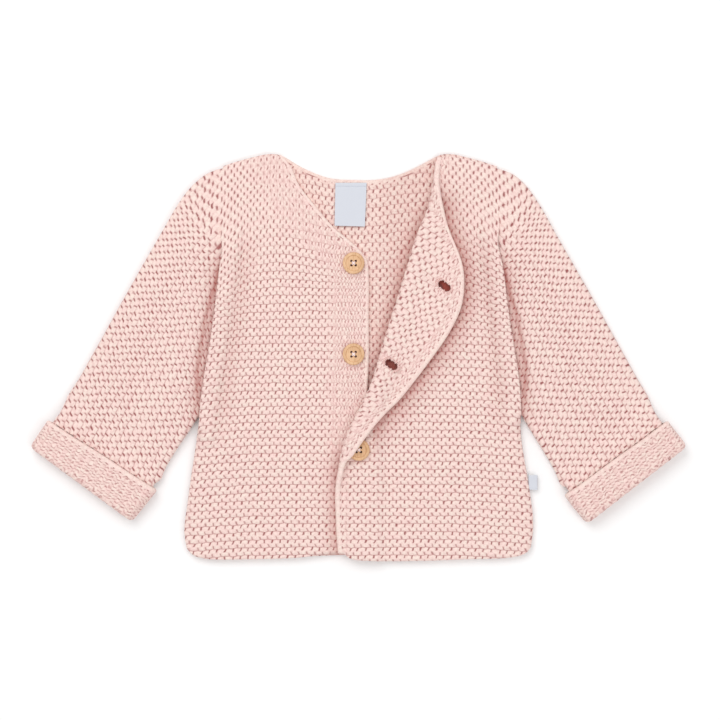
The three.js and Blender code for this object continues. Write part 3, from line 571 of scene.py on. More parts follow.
def make_back():
    def side_line(side, line):
        def read(up):
            t = 1 - up
            inset = mix(ARMHOLE_GAP + tuck_at(t), 0.3, smooth((t - ARMPIT) / 0.06))
            inset = inset - JOINED * in_one_with_sleeve(t)
            point = line.at(t)
            point[..., 0] -= side * inset
            return point
        return read

    left, right = side_line(-1, side_left), side_line(1, side_right)
    top = Line(
        [(-x, y - 0.2) for x, y in SHOULDER[::-1]]
        + BACK_NECK[1:-1]
        + [(x + 0.6, y - 0.2) for x, y in SHOULDER]
    )
    hem = Line(BACK_HEM)

    def fit(line, start, end):
        def read(across):
            a = np.asarray(across, float)[..., None]
            point = line.along(across) + (start - line.at(0.0)) * (1 - a)
            return point + (end - line.at(1.0)) * a
        return read

    sheet = patch(left, right, fit(hem, left(0.0), right(0.0)), fit(top, left(1.0), right(1.0)))
    wide, long = BACK_SIZE
    across = spaced(BACK_GRID, wide)[None, :]
    up = spaced(BACK_GRID, long)[:, None]
    xy = sheet(across, up)
    x, y = xy[..., 0], xy[..., 1]
    from_hem, from_top = up * long, (1 - up) * long
    from_side = np.minimum(across * wide, (1 - across) * wide)
    share = np.minimum(rounding(from_side), rounding(np.minimum(from_hem, from_top)))
    t = 1 - up
    seam = smooth((t - ARMPIT) / 0.04)
    middle_z = mix(BACK_Z, seam_close(BACK_Z, from_side), seam)
    on_shoulder = smooth((np.abs(x) - 52) / 4)
    middle_z = mix(middle_z, seam_close(middle_z, from_top), on_shoulder)
    middle = np.dstack([xy, middle_z])
    s, t_count = np.where(x < 0, knit_body(x, y, -1), knit_body(x, y, 1))
    rise = 5.5 * smooth(np.abs(x) / 50) * (1 - smooth((140 - y) / 120))
    t_count = t_count + rise * (1 - smooth((np.abs(x) - 50) / 20)) / RIDGE
    s, t_count = uneven(s, t_count, x, y, 0.6)
    neck = (np.abs(x) < 53) * (1 - np.clip(from_top / 4, 0, 1))
    # Painted shade on the back's inside: under the turned front, along the turned front's fold, and under
    # the holes.
    shade = 0.2 * smooth((x - 5) / 22) * (1 - smooth((x - 60) / 10)) * smooth((y + 60) / 40)
    shade = shade + 0.6 * np.exp(-(((fold_x(y) - x) / 7) ** 2)) * smooth((120 - y) / 30)
    shade = np.maximum(shade, under_holes(x, y))
    grids = maps(s, t_count, nearness=neck * 0.8, drawn=0.25, painted_shade=shade, line=0.8)
    return cloth("cardigan_back", middle, share, *grids)


def fold_x(y):
    """Where the turned front's fold runs."""
    return np.interp(-y, [-row[1] for row in TURNED_FRONT], [row[0] for row in TURNED_FRONT])


def under_holes(x, y):
    """Painted shade on a lower layer under the buttonholes and the buttons: how dark it is."""
    dark = np.zeros(np.shape(x))
    for hole_x, hole_y, depth, reach in UNDER_HOLES:
        away = np.hypot(x - hole_x, y - hole_y)
        dark = np.maximum(dark, depth * (1 - smooth((away - reach) / 3)))
    return dark


def make_button_front():
    edge_line, hem = Line(BUTTON_FRONT_EDGE), Line(HEM_LEFT)
    shoulder = Line([(-x, y) for x, y in SHOULDER[::-1]])

    def left(up):
        t = 1 - np.asarray(up)
        point = side_left.at(t)
        point[..., 0] -= (JOINED + ARMHOLE_GAP) * in_one_with_sleeve(t)
        return point

    sheet = patch(left, lambda up: edge_line.along(1 - np.asarray(up)), hem.along, shoulder.along)
    wide, long = BUTTON_FRONT_SIZE
    across = spaced(GRID, wide)[None, :]
    up = spaced(GRID, long)[:, None]
    xy = sheet(across, up)
    x, y = xy[..., 0], xy[..., 1]
    t = 1 - up
    from_side = x - side_left.at(np.broadcast_to(t, x.shape))[..., 0]
    lift = crease_lift(from_side, side_crease(t))
    middle_z = FRONT_Z + lift + crease_height("front_right", x, y)
    from_left, from_edge = across * wide, (1 - across) * wide
    from_hem, from_top = up * long, (1 - up) * long
    share = np.minimum(rounding(np.minimum(from_left, from_edge)),
                       rounding(np.minimum(from_hem, from_top)))
    seam = smooth((t - ARMPIT - 0.02) / 0.05)
    middle_z = mix(middle_z, seam_close(middle_z, from_left), seam)
    middle = np.dstack([xy, seam_close(middle_z, from_top)])
    s, t_count = knit_body(x, y, -1)
    pulled = smooth((y - 38) / 30) * (1 - 0.5 * smooth((y - 100) / 30))
    t_count = t_count - 9 * smooth((x + 64) / 62) * pulled / TOP_RIDGE
    s, t_count = uneven(s, t_count, x, y, 0)
    edge_x = edge_line.along(np.broadcast_to(1 - up, x.shape))
    from_front = np.hypot(x - edge_x[..., 0], y - edge_x[..., 1])
    nearness = 1 - np.clip(from_front / 4.4, 0, 1)
    band = 1 - smooth((from_front - 20) / 12)
    band = band * (1 - 0.6 * smooth((y - 70) / 20)) * (1 - 0.75 * smooth((-y - 30) / 50))
    # Painted shade along the crease over the sleeve, beside the turned front's folded edge near the hem,
    # and under the holes.
    painted_shade = 0.25 * beside_crease(from_side, t)
    beside_flap = np.exp(-((np.clip(fold_x(y) - x, 0, None) / 6) ** 1.5)) * smooth((-y - 55) / 20)
    painted_shade = np.maximum(painted_shade + 0.7 * beside_flap, under_holes(x, y))
    line = 0.15 + 0.85 * smooth((80 - y + 0.8 * (x + 95)) / 60)
    grids = maps(s, t_count, nearness, 0.9 * band, drawn_open(x, y, -1), painted_shade, line=line)
    return cloth("cardigan_front_right", middle, share, *grids)


def make_turned_front():
    fold = Line([row[0:2] for row in TURNED_FRONT])
    free = Line([row[2:4] for row in TURNED_FRONT])
    side = Line([row[4:6] for row in TURNED_FRONT])
    roll_at, curl_at = column(TURNED_FRONT, 6), column(TURNED_FRONT, 7)
    hem = Line(HEM_RIGHT)
    shoulder = Line([(58.4, 140), *[(x + 1, y) for x, y in SHOULDER[1:-1]], (93.2, 132.6)])

    def into_cloth(t):
        heading = fold.heading(t)
        return np.stack([-heading[..., 1], heading[..., 0]], -1)

    def turned(t):
        return smooth(curl_at(t) * 1.4)

    def left(up):
        t = 1 - np.asarray(up, float)
        weight = turned(t)[..., None]
        direction = unit(np.array([1.0, 0.0]) * (1 - weight) + into_cloth(t) * weight)
        return fold.at(t) + direction * (WALL / 2 + roll_at(t))[..., None]

    def right(up):
        t = 1 - np.asarray(up, float)
        point = side.at(t)
        point[..., 0] += (JOINED + ARMHOLE_GAP) * in_one_with_sleeve(t * 0.95)
        return point

    def fit(line, start):
        def read(across):
            return line.along(across) + (start - line.at(0.0)) * (1 - np.asarray(across)[..., None])
        return read

    sheet = patch(left, right, fit(hem, left(0.0)), fit(shoulder, left(1.0)))
    wide, long = TURNED_FRONT_SIZE
    ups = spaced(GRID, long)
    below = spaced(GRID, wide, start=False)
    flap_steps = spaced(1.0, 40, start=False)[1:][::-1]
    roll_steps = np.linspace(1, 0, FOLD_STEPS, endpoint=False)

    def lower(across, up):
        xy = sheet(across, up)
        x, y = xy[..., 0], xy[..., 1]
        from_side = right(up)[..., 0] - x
        lift = crease_lift(from_side, side_crease(1 - up))
        z = FRONT_Z + overlap_lift(x) + lift + crease_height("front_left", x, y)
        return np.concatenate([xy, z[..., None]], -1)

    middle, counts, lay = [], [], []
    for up in ups:
        t = 1 - up
        roll, curl = float(roll_at(t)), float(curl_at(t))
        angle, weight = math.pi * curl, float(turned(t))
        start = lower(np.array(0.0), np.array(up))
        inward = into_cloth(np.array(t))
        leftward = unit(np.array([-1.0, 0.0]) * (1 - weight) - inward * weight)
        to_edge = free.at(t) - fold.at(t)
        drift = to_edge - inward * (to_edge @ inward)
        reach = WALL / 2 + roll
        flat = mix(reach, max(1.5, to_edge @ inward - reach), weight)
        whole = roll * angle + flat
        stretch = math.hypot(1, np.linalg.norm(drift) / whole)

        def place(along, out, height):
            share = along / whole
            xy = start[:2] + np.outer(out, leftward) + np.outer(share, drift)
            return np.column_stack([xy, start[2] + height])

        along = flap_steps * flat
        out = roll * math.sin(angle) + along * math.cos(angle)
        height = roll * (1 - math.cos(angle)) + along * math.sin(angle)
        loose = float(1 - smooth((t - KEEP_ROUND_FROM) / 0.08))
        height = height - loose * curl * (2 * roll - LAYER - 0.15) * smooth(along / FOLD_SETTLE)
        height = height + loose * EDGE_LIFT * smooth((flap_steps - 0.55) / 0.45) * smooth(flat / 30)
        flap = place(roll * angle + along, out, height)
        ground = FRONT_Z + overlap_lift(flap[:, 0]) - start[2]
        flap[:, 2] += loose * ground * smooth(along / FOLD_SETTLE)
        part = angle * roll_steps
        rolled = place(roll * part, roll * np.sin(part), roll * (1 - np.cos(part)))
        under = lower(below, np.full_like(below, up))
        s0, t0 = knit_body(start[0], start[1], 1)
        cloth_length = np.concatenate([roll * angle + along, roll * part]) * stretch
        s_low, t_low = knit_body(under[:, 0], under[:, 1], 1)
        s_row = np.concatenate([s0 - cloth_length / STITCH, s_low])
        t_row = np.concatenate([np.full(len(cloth_length), t0), t_low])
        middle.append(np.vstack([flap, rolled, under]))
        counts.append(np.column_stack([s_row, t_row]))
        from_free = whole * stretch - np.concatenate([cloth_length, np.zeros(len(below))])
        from_free[len(cloth_length):] += under[:, 0] - under[0, 0]
        on_top = np.concatenate([np.ones(len(flap)), roll_steps, np.zeros(len(below))]) * weight
        lay.append(np.column_stack([from_free, on_top]))
    middle, counts, lay = np.array(middle), np.array(counts), np.array(lay)
    x, y = middle[..., 0], middle[..., 1]
    from_free, on_top = lay[..., 0], lay[..., 1]
    up = ups[:, None]
    t = 1 - up
    from_side = np.full(middle.shape[:2], 1e3)
    from_side[:, -len(below):] = (1 - below)[None, :] * wide
    from_hem, from_top = up * long, (1 - up) * long
    share = np.minimum(rounding(from_free), rounding(from_side))
    share[:, 0] = 0
    share = np.minimum(share, rounding(np.minimum(from_hem, from_top)))
    seam = smooth((t - ARMPIT - 0.02) / 0.05)
    z = middle[..., 2]
    z = mix(z, seam_close(z, from_side), seam)
    shoulder_only = smooth((x - 54) / 3)
    middle[..., 2] = mix(z, seam_close(z, from_top), shoulder_only)
    s, t_count = uneven(counts[..., 0], counts[..., 1], x, y, 1.4)
    nearness = 1 - np.clip(from_free / 5.2, 0, 1)
    band = 1 - smooth((from_free - 4) / 9)
    for slit_x, slit_y in FLAP_SLITS:
        round_slit = np.hypot(x - slit_x, y - slit_y)
        band = np.maximum(band, 1 - smooth((round_slit - 6) / 4))
    band = band * np.where(y < -60, 0.3, 0.9)
    # Painted shadow cast by the turned cloth's free edge on the layer below it, painted shade along the
    # crease over the sleeve, and under the holes.
    gap = distance_to(x, y, free.at(np.linspace(0, 1, 400))[40:330])
    painted_shade = 1.1 * np.exp(-((gap / 8) ** 1.4)) * (1 - on_top) * (x > 10)
    painted_shade = painted_shade + 0.25 * beside_crease(from_side, t)
    painted_shade = np.maximum(painted_shade, under_holes(x, y) * (on_top < 0.5))
    drawn = drawn_open(x, y, 1) * (1 - on_top)
    line = mix(1 - 0.6 * smooth((y - 60) / 40) * smooth((x - 45) / 20), 0.65, on_top)
    grids = maps(s, t_count, nearness, band, drawn, painted_shade, line=line)
    return cloth("cardigan_front_left", middle, share, *grids)


def make_sleeve(name):
    shape = SLEEVES[name]
    side = shape["side"]
    top, bottom = Line(shape["top"]), Line(shape["bottom"])
    outer = side_left if side < 0 else side_right

    def armhole(across):
        t = np.asarray(across) * ARMPIT
        point = outer.at(t)
        point[..., 0] += side * (ARMHOLE_GAP - tuck_at(t) - JOINED * in_one_with_sleeve(t))
        return point

    def start_line(across):
        a = np.asarray(across, float)[..., None]
        from_top = top.at(0.0) - armhole(0.0) - [side * JOINED, 0]
        point = armhole(across) + from_top * (1 - a)
        return point + (bottom.at(0.0) - armhole(1.0)) * a

    def end_line(across):
        a = np.asarray(across, float)[..., None]
        return top.at(1.0) * (1 - a) + bottom.at(1.0) * a

    length = top.length[-1]

    def share_before(line, rows, row):
        return 1 - math.dist(rows[row], line.at(1.0)) / line.length[-1]

    cuff = share_before(top, shape["top"], CUFF_ROW_TOP)
    cuff_below = share_before(bottom, shape["bottom"], CUFF_ROW_BOTTOM)

    def below(t):
        lower = mix(cuff_below, 1, (t - cuff) / (1 - cuff))
        return np.clip(np.where(t < cuff, t / cuff * cuff_below, lower), 0, 1)

    def upper(t):
        point = top.along(np.clip(t, 0, 1))
        point[..., 0] -= side * JOINED * (1 - smooth(np.asarray(t) * 14))
        return point

    sheet = patch(start_line, end_line, upper, lambda t: bottom.along(below(np.asarray(t))))
    end = 1 - LAYER / 2 / length
    along, layer, bend = [], [], []
    for step in spaced(GRID, length * cuff, end=False):
        along.append(step * cuff), layer.append(0), bend.append(0.0)
    for step in np.linspace(0, 1, 26)[1:]:
        along.append(mix(cuff, 1, step) - LAYER / 2 / length), layer.append(0), bend.append(0.0)
    for turn in np.linspace(0, math.pi, 9)[1:-1]:
        along.append(end), layer.append(0), bend.append(turn)
    for step in spaced(GRID, length * (1 - cuff), start=False):
        along.append(mix(end, cuff, step)), layer.append(1), bend.append(math.pi)

    flat_count, round_count = SLEEVE_FLAT_STEPS, SLEEVE_ROUND_STEPS
    middle, counts, lay = [], [], []
    for here, on_cuff, turn in zip(along, layer, bend):
        out = 1.0 if on_cuff else (1 - math.cos(turn)) / 2
        t = here + (0 if on_cuff else LAYER / 2 * math.sin(turn) / length)
        width = math.dist(sheet(t, 0.0), sheet(t, 1.0))
        lifted = float(smooth(((t - cuff) * length + CUFF_RAMP) / (CUFF_RAMP * 0.75)))
        loft = SLEEVE_LOFT * float(smooth(t * 6)) * (1 - 0.6 * lifted)
        half_height = LAYER / 2 + loft / 2 + LAYER * out
        inset = WALL / 2 + LAYER * lifted * (1 - out) * 0.9
        half_width = width / 2 - inset + CUFF_STAND_OFF * out
        base = BACK_Z + LAYER * lifted * (1 - out)
        edge_share = half_height / half_width
        span = np.linspace(-1 + edge_share, 1 - edge_share, flat_count, endpoint=False)
        curve = np.linspace(-math.pi / 2, math.pi / 2, round_count, endpoint=False)
        end_arc = 1 - edge_share + edge_share * np.cos(curve)
        across = np.concatenate([span, end_arc, -span, -end_arc])
        high = np.concatenate([
            np.full(flat_count, -1.0), np.sin(curve), np.full(flat_count, 1.0), -np.sin(curve),
        ])
        share = 0.5 + across * half_width / width
        xy = sheet(np.full_like(share, t), share)
        x, y = xy[:, 0], xy[:, 1]
        crown = crease_height(name, x, y) * smooth(4 - 4 * np.abs(across)) * (high > 0.5)
        z = base + half_height * (1 + high) + crown * float(smooth(t * 8)) * (1 - lifted)
        s, ridge, step_by = knit_sleeve(x, y, side)
        turned = np.abs(curve)
        lag = half_height * (turned - math.pi / 2 + np.cos(turned)) / RIDGE
        ridge[flat_count:flat_count + round_count] -= lag
        ridge[-round_count:] += lag
        past_fold = side * LAYER / 2 * turn / STITCH
        if on_cuff:
            s = 2 * s_end + past_fold - s
        elif turn > 0:
            s = s_end + past_fold
        else:
            s_end = s
        middle.append(np.column_stack([x, y, z]))
        counts.append(np.column_stack([s, ridge, step_by]))
        from_cuff_edge = (t - cuff) * length if on_cuff else 1e3
        edge_and_turn = [np.full(len(x), from_cuff_edge), np.full(len(x), float(out))]
        lay.append(np.column_stack([*edge_and_turn, high]))
    middle, counts, lay = np.array(middle), np.array(counts), np.array(lay)
    starts = np.array(along[:8]) * length
    share = np.ones(middle.shape[:2])
    share[: len(starts)] = rounding(starts)[:, None]
    share *= rounding(lay[..., 0])
    share[-1] = 0
    x, y = middle[..., 0], middle[..., 1]
    s, t_count = uneven(counts[..., 0], counts[..., 1], x, y, 2.2 + side)
    nearness = np.clip(1 - lay[..., 0] / 4.2, 0, 1)
    on_cuff = smooth((lay[..., 1] - 0.4) / 0.5)
    top_layer = lay[..., 2] > 0.2
    # Painted shade along the crease where the body lies over the sleeve, and along a second pleat beside
    # it.
    gap = distance_to(x, y, outer.at(np.linspace(JOINED_TO + 0.05, ARMPIT, 160)))
    swerve = 6.2 * smooth((66 - y) / 45) * (1 - 0.6 * smooth(-y / 36))
    second = np.exp(-(((gap - swerve) / 1.8) ** 2)) * smooth((72 - y) / 12) * smooth((y + 36) / 20)
    painted_shade = 0.8 * np.exp(-((gap / 6) ** 1.5)) + 0.7 * second
    painted_shade = painted_shade * top_layer * (1 - on_cuff) * smooth((82 - y) / 26)
    drawn = np.maximum(drawn_open(x, y, side) * smooth(gap / 24), 0.15) * (1 - on_cuff)
    middle[..., 2] -= 0.9 * np.exp(-((gap - 5) / 4.5) ** 2) * top_layer * smooth((86 - y) / 20)
    line = mix(0.3, 0.9, smooth((110 - y) / 50)) * (1 - 0.3 * on_cuff)
    grids = maps(s, t_count, nearness, 0.85 * on_cuff, drawn, painted_shade, counts[..., 2], line)
    if side > 0:
        middle, share, *grids = [grid[:, ::-1] for grid in (middle, share, *grids)]
    return cloth("cardigan_" + name, middle, share, *grids, closed=True)


cloths = {
    "back": make_back(),
    "front_right": make_button_front(),
    "front_left": make_turned_front(),
    "sleeve_right": make_sleeve("sleeve_right"),
    "sleeve_left": make_sleeve("sleeve_left"),
}

class Nodes:
    """Short forms for adding and joining the nodes of one tree."""

    def __init__(self, tree):
        self.tree = tree

    def add(self, kind, values=None, **settings):
        node = self.tree.nodes.new("ShaderNode" + kind)
        for key, value in settings.items():
            setattr(node, key, value)
        for key, value in (values or {}).items():
            if isinstance(value, bpy.types.NodeSocket):
                self.link(value, node.inputs[key])
            else:
                node.inputs[key].default_value = value
        return node

    def link(self, value, socket):
        self.tree.links.new(value, socket)

    def math(self, operation, *values):
        return self.add("Math", dict(enumerate(values)), operation=operation).outputs[0]

    def times(self, first, second):
        return self.math("MULTIPLY", first, second)

    def scaled(self, value, factor, offset):
        """The value times the factor, plus the offset."""
        return self.math("MULTIPLY_ADD", value, factor, offset)

    def fade(self, value, full, none):
        """From 1 at full to 0 at none."""
        ends = {"Value": value, "From Min": full, "From Max": none, "To Min": 1.0, "To Max": 0.0}
        return self.add("MapRange", ends, interpolation_type="SMOOTHSTEP").outputs[0]

    def blend(self, share, first, second):
        node = self.add("Mix", data_type="RGBA", blend_type="MIX")
        for socket, value in ((node.inputs[0], share), (node.inputs[6], first), (node.inputs[7], second)):
            if isinstance(value, bpy.types.NodeSocket):
                self.link(value, socket)
            else:
                socket.default_value = value
        return node.outputs[2]

    def uv(self, name):
        return self.add("UVMap", uv_map=name).outputs[0]

    def parts(self, vector):
        return self.add("SeparateXYZ", {0: vector}).outputs

    def place(self):
        return self.add("TexCoord").outputs["Object"]

    def noise(self, vector, scale, detail, output=0):
        return self.add("TexNoise", {"Vector": vector, "Scale": scale, "Detail": detail}).outputs[output]

    def chance(self, cell):
        return self.add("TexWhiteNoise", {"Vector": cell}, noise_dimensions="3D").outputs[0]

    def bump(self, shader, height, strength, distance):
        bump = self.add("Bump", {"Height": height, "Strength": strength, "Distance": distance})
        self.link(bump.outputs[0], shader.inputs["Normal"])


def new_group(name, inputs, outputs):
    """An empty node group with its named inputs and outputs, and what they carry."""
    tree = bpy.data.node_groups.new(name, "ShaderNodeTree")
    for labels, way in ((inputs, "INPUT"), (outputs, "OUTPUT")):
        for label in labels:
            kind = "NodeSocketVector" if label == "Place" else "NodeSocketFloat"
            tree.interface.new_socket(label, in_out=way, socket_type=kind)
    given = tree.nodes.new("NodeGroupInput").outputs
    made = tree.nodes.new("NodeGroupOutput").inputs
    return Nodes(tree), [given[label] for label in inputs], made


def cotton_yarn_group():
    """Uneven spinning: fibres, a mottled tone, and stitches that wander from their places."""
    outputs = ("Fibre", "Mottle", "Shade", "Aside", "Along")
    n, (place,), made = new_group("cotton_yarn", ("Place",), outputs)
    fibre = n.noise(place, 1500.0, 3.0)
    mottle = n.noise(place, 230.0, 2.0)
    shade = n.noise(place, 620.0, 2.0)
    wander = n.parts(n.noise(place, 250.0, 1.5, 1))
    n.link(fibre, made["Fibre"])
    n.link(n.fade(mottle, 0.66, 0.36), made["Mottle"])
    n.link(n.fade(shade, 0.68, 0.4), made["Shade"])
    n.link(n.scaled(wander[0], 0.4, -0.2), made["Aside"])
    n.link(n.scaled(wander[1], 0.2, -0.1), made["Along"])
    return n.tree


def garter_stitch_group():
    """Gaps and heights of garter stitch, from its stitch and ridge counts. The gaps are a mask for
    painted shade, and sink the bump.
    """
    labels = ("Stitch", "Ridge", "Step", "Nearness", "Band", "Drawn", "Line", "Aside", "Along")
    n, given, made = new_group("garter_stitch", labels, ("Gap", "Height", "Tint"))
    s0, t0, step, near, band, drawn, line, aside, along = given
    loose = n.scaled(band, 1.5, 1.0)
    t = n.scaled(along, loose, t0)
    s = n.scaled(n.math("FLOOR", t), step, n.scaled(aside, loose, s0))

    wave = n.math("COSINE", n.times(s0, math.tau))
    swing = n.math("COSINE", n.times(t, math.tau))
    bowed = n.scaled(n.times(wave, swing), -0.035, t)
    from_ridge = n.math("PINGPONG", bowed, 0.5)
    half_row = n.times(from_ridge, 2.0)
    lower = n.math("FLOOR", n.times(n.math("FRACT", t), 2.0))
    lean = n.times(n.times(half_row, line), 0.12)
    offset = n.scaled(lower, 0.5, lean)
    from_slit = n.math("PINGPONG", n.math("ADD", s, offset), 0.5)
    fine_slit = n.math("PINGPONG", n.scaled(s, 2.0, offset), 0.5)
    centred = n.times(n.times(half_row, n.math("SUBTRACT", 1.0, half_row)), 4.0)
    centred = n.math("POWER", centred, 0.6)
    hanging = n.fade(half_row, 0.75, 1.05)
    in_row = n.times(n.math("SUBTRACT", hanging, centred), line)
    in_row = n.math("ADD", centred, in_row)
    rising = n.scaled(n.times(lower, line), -0.28, 1.0)
    in_row = n.times(in_row, rising)

    column = n.math("FLOOR", n.math("ADD", n.math("ADD", s, offset), 0.5))
    row = n.math("FLOOR", n.times(t, 2.0))
    cell = n.add("CombineXYZ", {0: column, 1: row}).outputs[0]
    chance = n.chance(cell)
    loop = n.add("CombineXYZ", {0: n.math("FLOOR", n.math("ADD", s, offset)), 1: row, 2: 9.0})
    tint = n.chance(loop.outputs[0])

    # The gap mask: slits between stitches, lines between ridges and dots along the edge, where the
    # material paints shade.
    wide = n.scaled(drawn, 0.05, n.scaled(chance, 0.03, 0.15))
    slit = n.times(n.fade(from_slit, 0.02, wide), in_row)
    slit = n.times(slit, n.scaled(chance, 0.22, 0.86))
    fine = n.times(n.fade(fine_slit, 0.0, 0.3), in_row)
    fine = n.times(fine, 0.75)
    coarse_share = n.math("SUBTRACT", 1.0, band)
    slits = n.scaled(slit, coarse_share, n.times(fine, band))
    undrawn = n.scaled(drawn, -0.8, 1.0)
    weight = n.times(n.times(line, undrawn), 0.6)
    weight = n.times(weight, n.scaled(band, -0.6, 1.0))
    between = n.times(n.fade(from_ridge, 0.0, 0.11), weight)
    crown = n.times(n.fade(from_ridge, 0.5, 0.43), 0.12)
    gap = n.math("MAXIMUM", n.math("MAXIMUM", slits, between), crown)
    dots = n.times(n.fade(n.math("ABSOLUTE", n.math("SUBTRACT", near, 0.36)), 0.03, 0.11),
                 n.fade(n.math("PINGPONG", t, 0.5), 0.06, 0.2))
    gap = n.times(gap, n.fade(near, 0.28, 0.42))
    gap = n.math("MAXIMUM", gap, n.times(dots, 0.8))

    round_ridge = n.fade(from_ridge, 0.34, 0.0)
    round_slit = n.times(n.fade(from_slit, 0.0, 0.34), in_row)
    round_fine = n.times(n.fade(fine_slit, 0.0, 0.4), in_row)
    coarse = n.times(round_slit, coarse_share)
    softer = n.times(round_fine, n.times(band, 0.5))
    height = n.math("SUBTRACT", n.times(round_ridge, 0.7), n.math("ADD", coarse, softer))
    n.link(gap, made["Gap"])
    n.link(n.math("SUBTRACT", height, gap), made["Height"])
    n.link(tint, made["Tint"])
    return n.tree


cotton_yarn = cotton_yarn_group()
garter_stitch = garter_stitch_group()


def new_material(name):
    material = bpy.data.materials.new(name)
    material.use_nodes = True
    material.node_tree.nodes.clear()
    n = Nodes(material.node_tree)
    shader = n.add("BsdfPrincipled")
    out = n.add("OutputMaterial")
    material.node_tree.links.new(shader.outputs[0], out.inputs[0])
    return material, n, shader


def knit_material(name, cream, pink, shade, halo_shade, gap, fold):
    """Matte cotton yarn, with painted shade in the gaps between the stitches and in the folds."""
    material, n, shader = new_material(name)
    s, t, _ = n.parts(n.uv("knit"))
    near, band, _ = n.parts(n.uv("edge"))
    drawn, painted_shade, _ = n.parts(n.uv("pull"))
    step, line, _ = n.parts(n.uv("bend"))
    yarn = n.add("Group", node_tree=cotton_yarn)
    n.link(n.place(), yarn.inputs["Place"])
    fibre, mottle, uneven = (yarn.outputs[label] for label in ("Fibre", "Mottle", "Shade"))
    stitch = n.add("Group", node_tree=garter_stitch)
    for label, socket in {
        "Stitch": s, "Ridge": t, "Step": step, "Nearness": near, "Band": band, "Drawn": drawn,
        "Line": line, "Aside": yarn.outputs["Aside"], "Along": yarn.outputs["Along"],
    }.items():
        n.link(socket, stitch.inputs[label])
    loop = n.scaled(stitch.outputs["Tint"], 0.5, n.times(mottle, 0.5))
    tone = n.blend(loop, cream, pink)
    tone = n.blend(n.times(uneven, 0.55), tone, shade)
    # Painted shade: a soft halo round the stitch gaps, then the dark of the gaps, then the dark of folds,
    # creases and holes.
    depth = n.times(stitch.outputs["Gap"], n.scaled(fibre, 0.7, 0.68))
    color = n.blend(n.times(n.math("POWER", depth, 0.5), 0.5), tone, halo_shade)
    color = n.blend(n.math("POWER", depth, 1.5), color, gap)
    color = n.blend(n.math("MINIMUM", n.times(painted_shade, 0.5), 0.96), color, fold)
    n.link(color, shader.inputs["Base Color"])
    shader.inputs["Roughness"].default_value = 0.92
    shader.inputs["Specular IOR Level"].default_value = 0.2
    shader.inputs["Sheen Weight"].default_value = 0.12
    shader.inputs["Sheen Roughness"].default_value = 0.6
    height = n.scaled(fibre, 0.35, stitch.outputs["Height"])
    n.bump(shader, height, 0.5, 0.0006)
    return material


CREAM = (0.89, 0.74, 0.665, 1)
PINK = (0.905, 0.675, 0.63, 1)
SHADE = (0.76, 0.53, 0.49, 1)
# Painted shade: a soft halo round the stitch gaps, the dark in the gaps, and the dark in folds, creases
# and under holes.
GAP_HALO_SHADE = (0.76, 0.40, 0.39, 1)
GAP_SHADE = (0.35, 0.125, 0.118, 1)
FOLD_SHADE = (0.36, 0.062, 0.043, 1)
# A darker copy of the yarn colours for the back's inside face: painted shade of the inside.
INSIDE_PINK = (0.89, 0.66, 0.60, 1)
INSIDE_SHADE = (0.72, 0.48, 0.44, 1)
# Painted shade in the stitch gaps of the sleeves, a little darker.
SLEEVE_GAP_SHADE = (0.33, 0.105, 0.10, 1)
knits = {
    "knit_body": knit_material("knit_body", CREAM, PINK, SHADE, GAP_HALO_SHADE, GAP_SHADE, FOLD_SHADE),
    "knit_inside": knit_material("knit_inside", CREAM, INSIDE_PINK, INSIDE_SHADE, GAP_HALO_SHADE, GAP_SHADE, FOLD_SHADE),
    "knit_sleeve": knit_material("knit_sleeve", CREAM, PINK, SHADE, GAP_HALO_SHADE, SLEEVE_GAP_SHADE, FOLD_SHADE),
}


def wood_material():
    material, n, shader = new_material("button_wood")
    place = n.place()
    stretched = n.add("Mapping", {"Vector": place, "Scale": (1.0, 0.12, 1.0), "Rotation": (0, 0, 0.3)})
    grain = n.noise(stretched.outputs[0], 1600.0, 4.0)
    broad = n.noise(stretched.outputs[0], 300.0, 2.0)
    color = n.blend(n.fade(broad, 0.3, 0.7), (0.78, 0.49, 0.28, 1), (0.66, 0.39, 0.21, 1))
    color = n.blend(n.times(n.fade(grain, 0.62, 0.5), 0.5), color, (0.45, 0.24, 0.09, 1))
    n.link(color, shader.inputs["Base Color"])
    n.link(n.scaled(grain, 0.15, 0.38), shader.inputs["Roughness"])
    n.bump(shader, grain, 0.15, 0.0003)
    return material


def satin_material():
    material, n, shader = new_material("label_satin")
    place = n.place()
    weave = n.add("TexWave", {"Vector": place, "Scale": 600.0, "Distortion": 1.0, "Detail": 1.0},
                  bands_direction="Y").outputs[1]
    cross = n.add("TexWave", {"Vector": place, "Scale": 900.0, "Distortion": 0.5, "Detail": 1.0},
                  bands_direction="X").outputs[1]
    thread = n.times(weave, cross)
    color = n.blend(thread, (0.60, 0.62, 0.68, 1), (0.66, 0.68, 0.74, 1))
    n.link(color, shader.inputs["Base Color"])
    shader.inputs["Roughness"].default_value = 0.5
    shader.inputs["Sheen Weight"].default_value = 0.1
    n.bump(shader, thread, 0.2, 0.0002)
    return material


def thread_material(name, base, shade):
    material, n, shader = new_material(name)
    place = n.place()
    ply = n.noise(place, 2600.0, 2.0)
    n.link(n.blend(n.fade(ply, 0.6, 0.4), base, shade), shader.inputs["Base Color"])
    shader.inputs["Roughness"].default_value = 0.8
    n.bump(shader, ply, 0.3, 0.0002)
    return material


wood = wood_material()
satin = satin_material()
pink_thread = thread_material("pink_thread", (0.88, 0.64, 0.60, 1), (0.70, 0.42, 0.38, 1))
button_thread = thread_material("button_thread", (0.95, 0.84, 0.81, 1), (0.88, 0.68, 0.66, 1))
label_thread = thread_material("label_thread", (0.72, 0.74, 0.80, 1), (0.58, 0.60, 0.68, 1))
# Painted shade for the walls of the buttonholes and of the buttons' holes.
hole_shade_look = thread_material("painted_hole_shade", (0.28, 0.07, 0.055, 1), (0.16, 0.035, 0.03, 1))

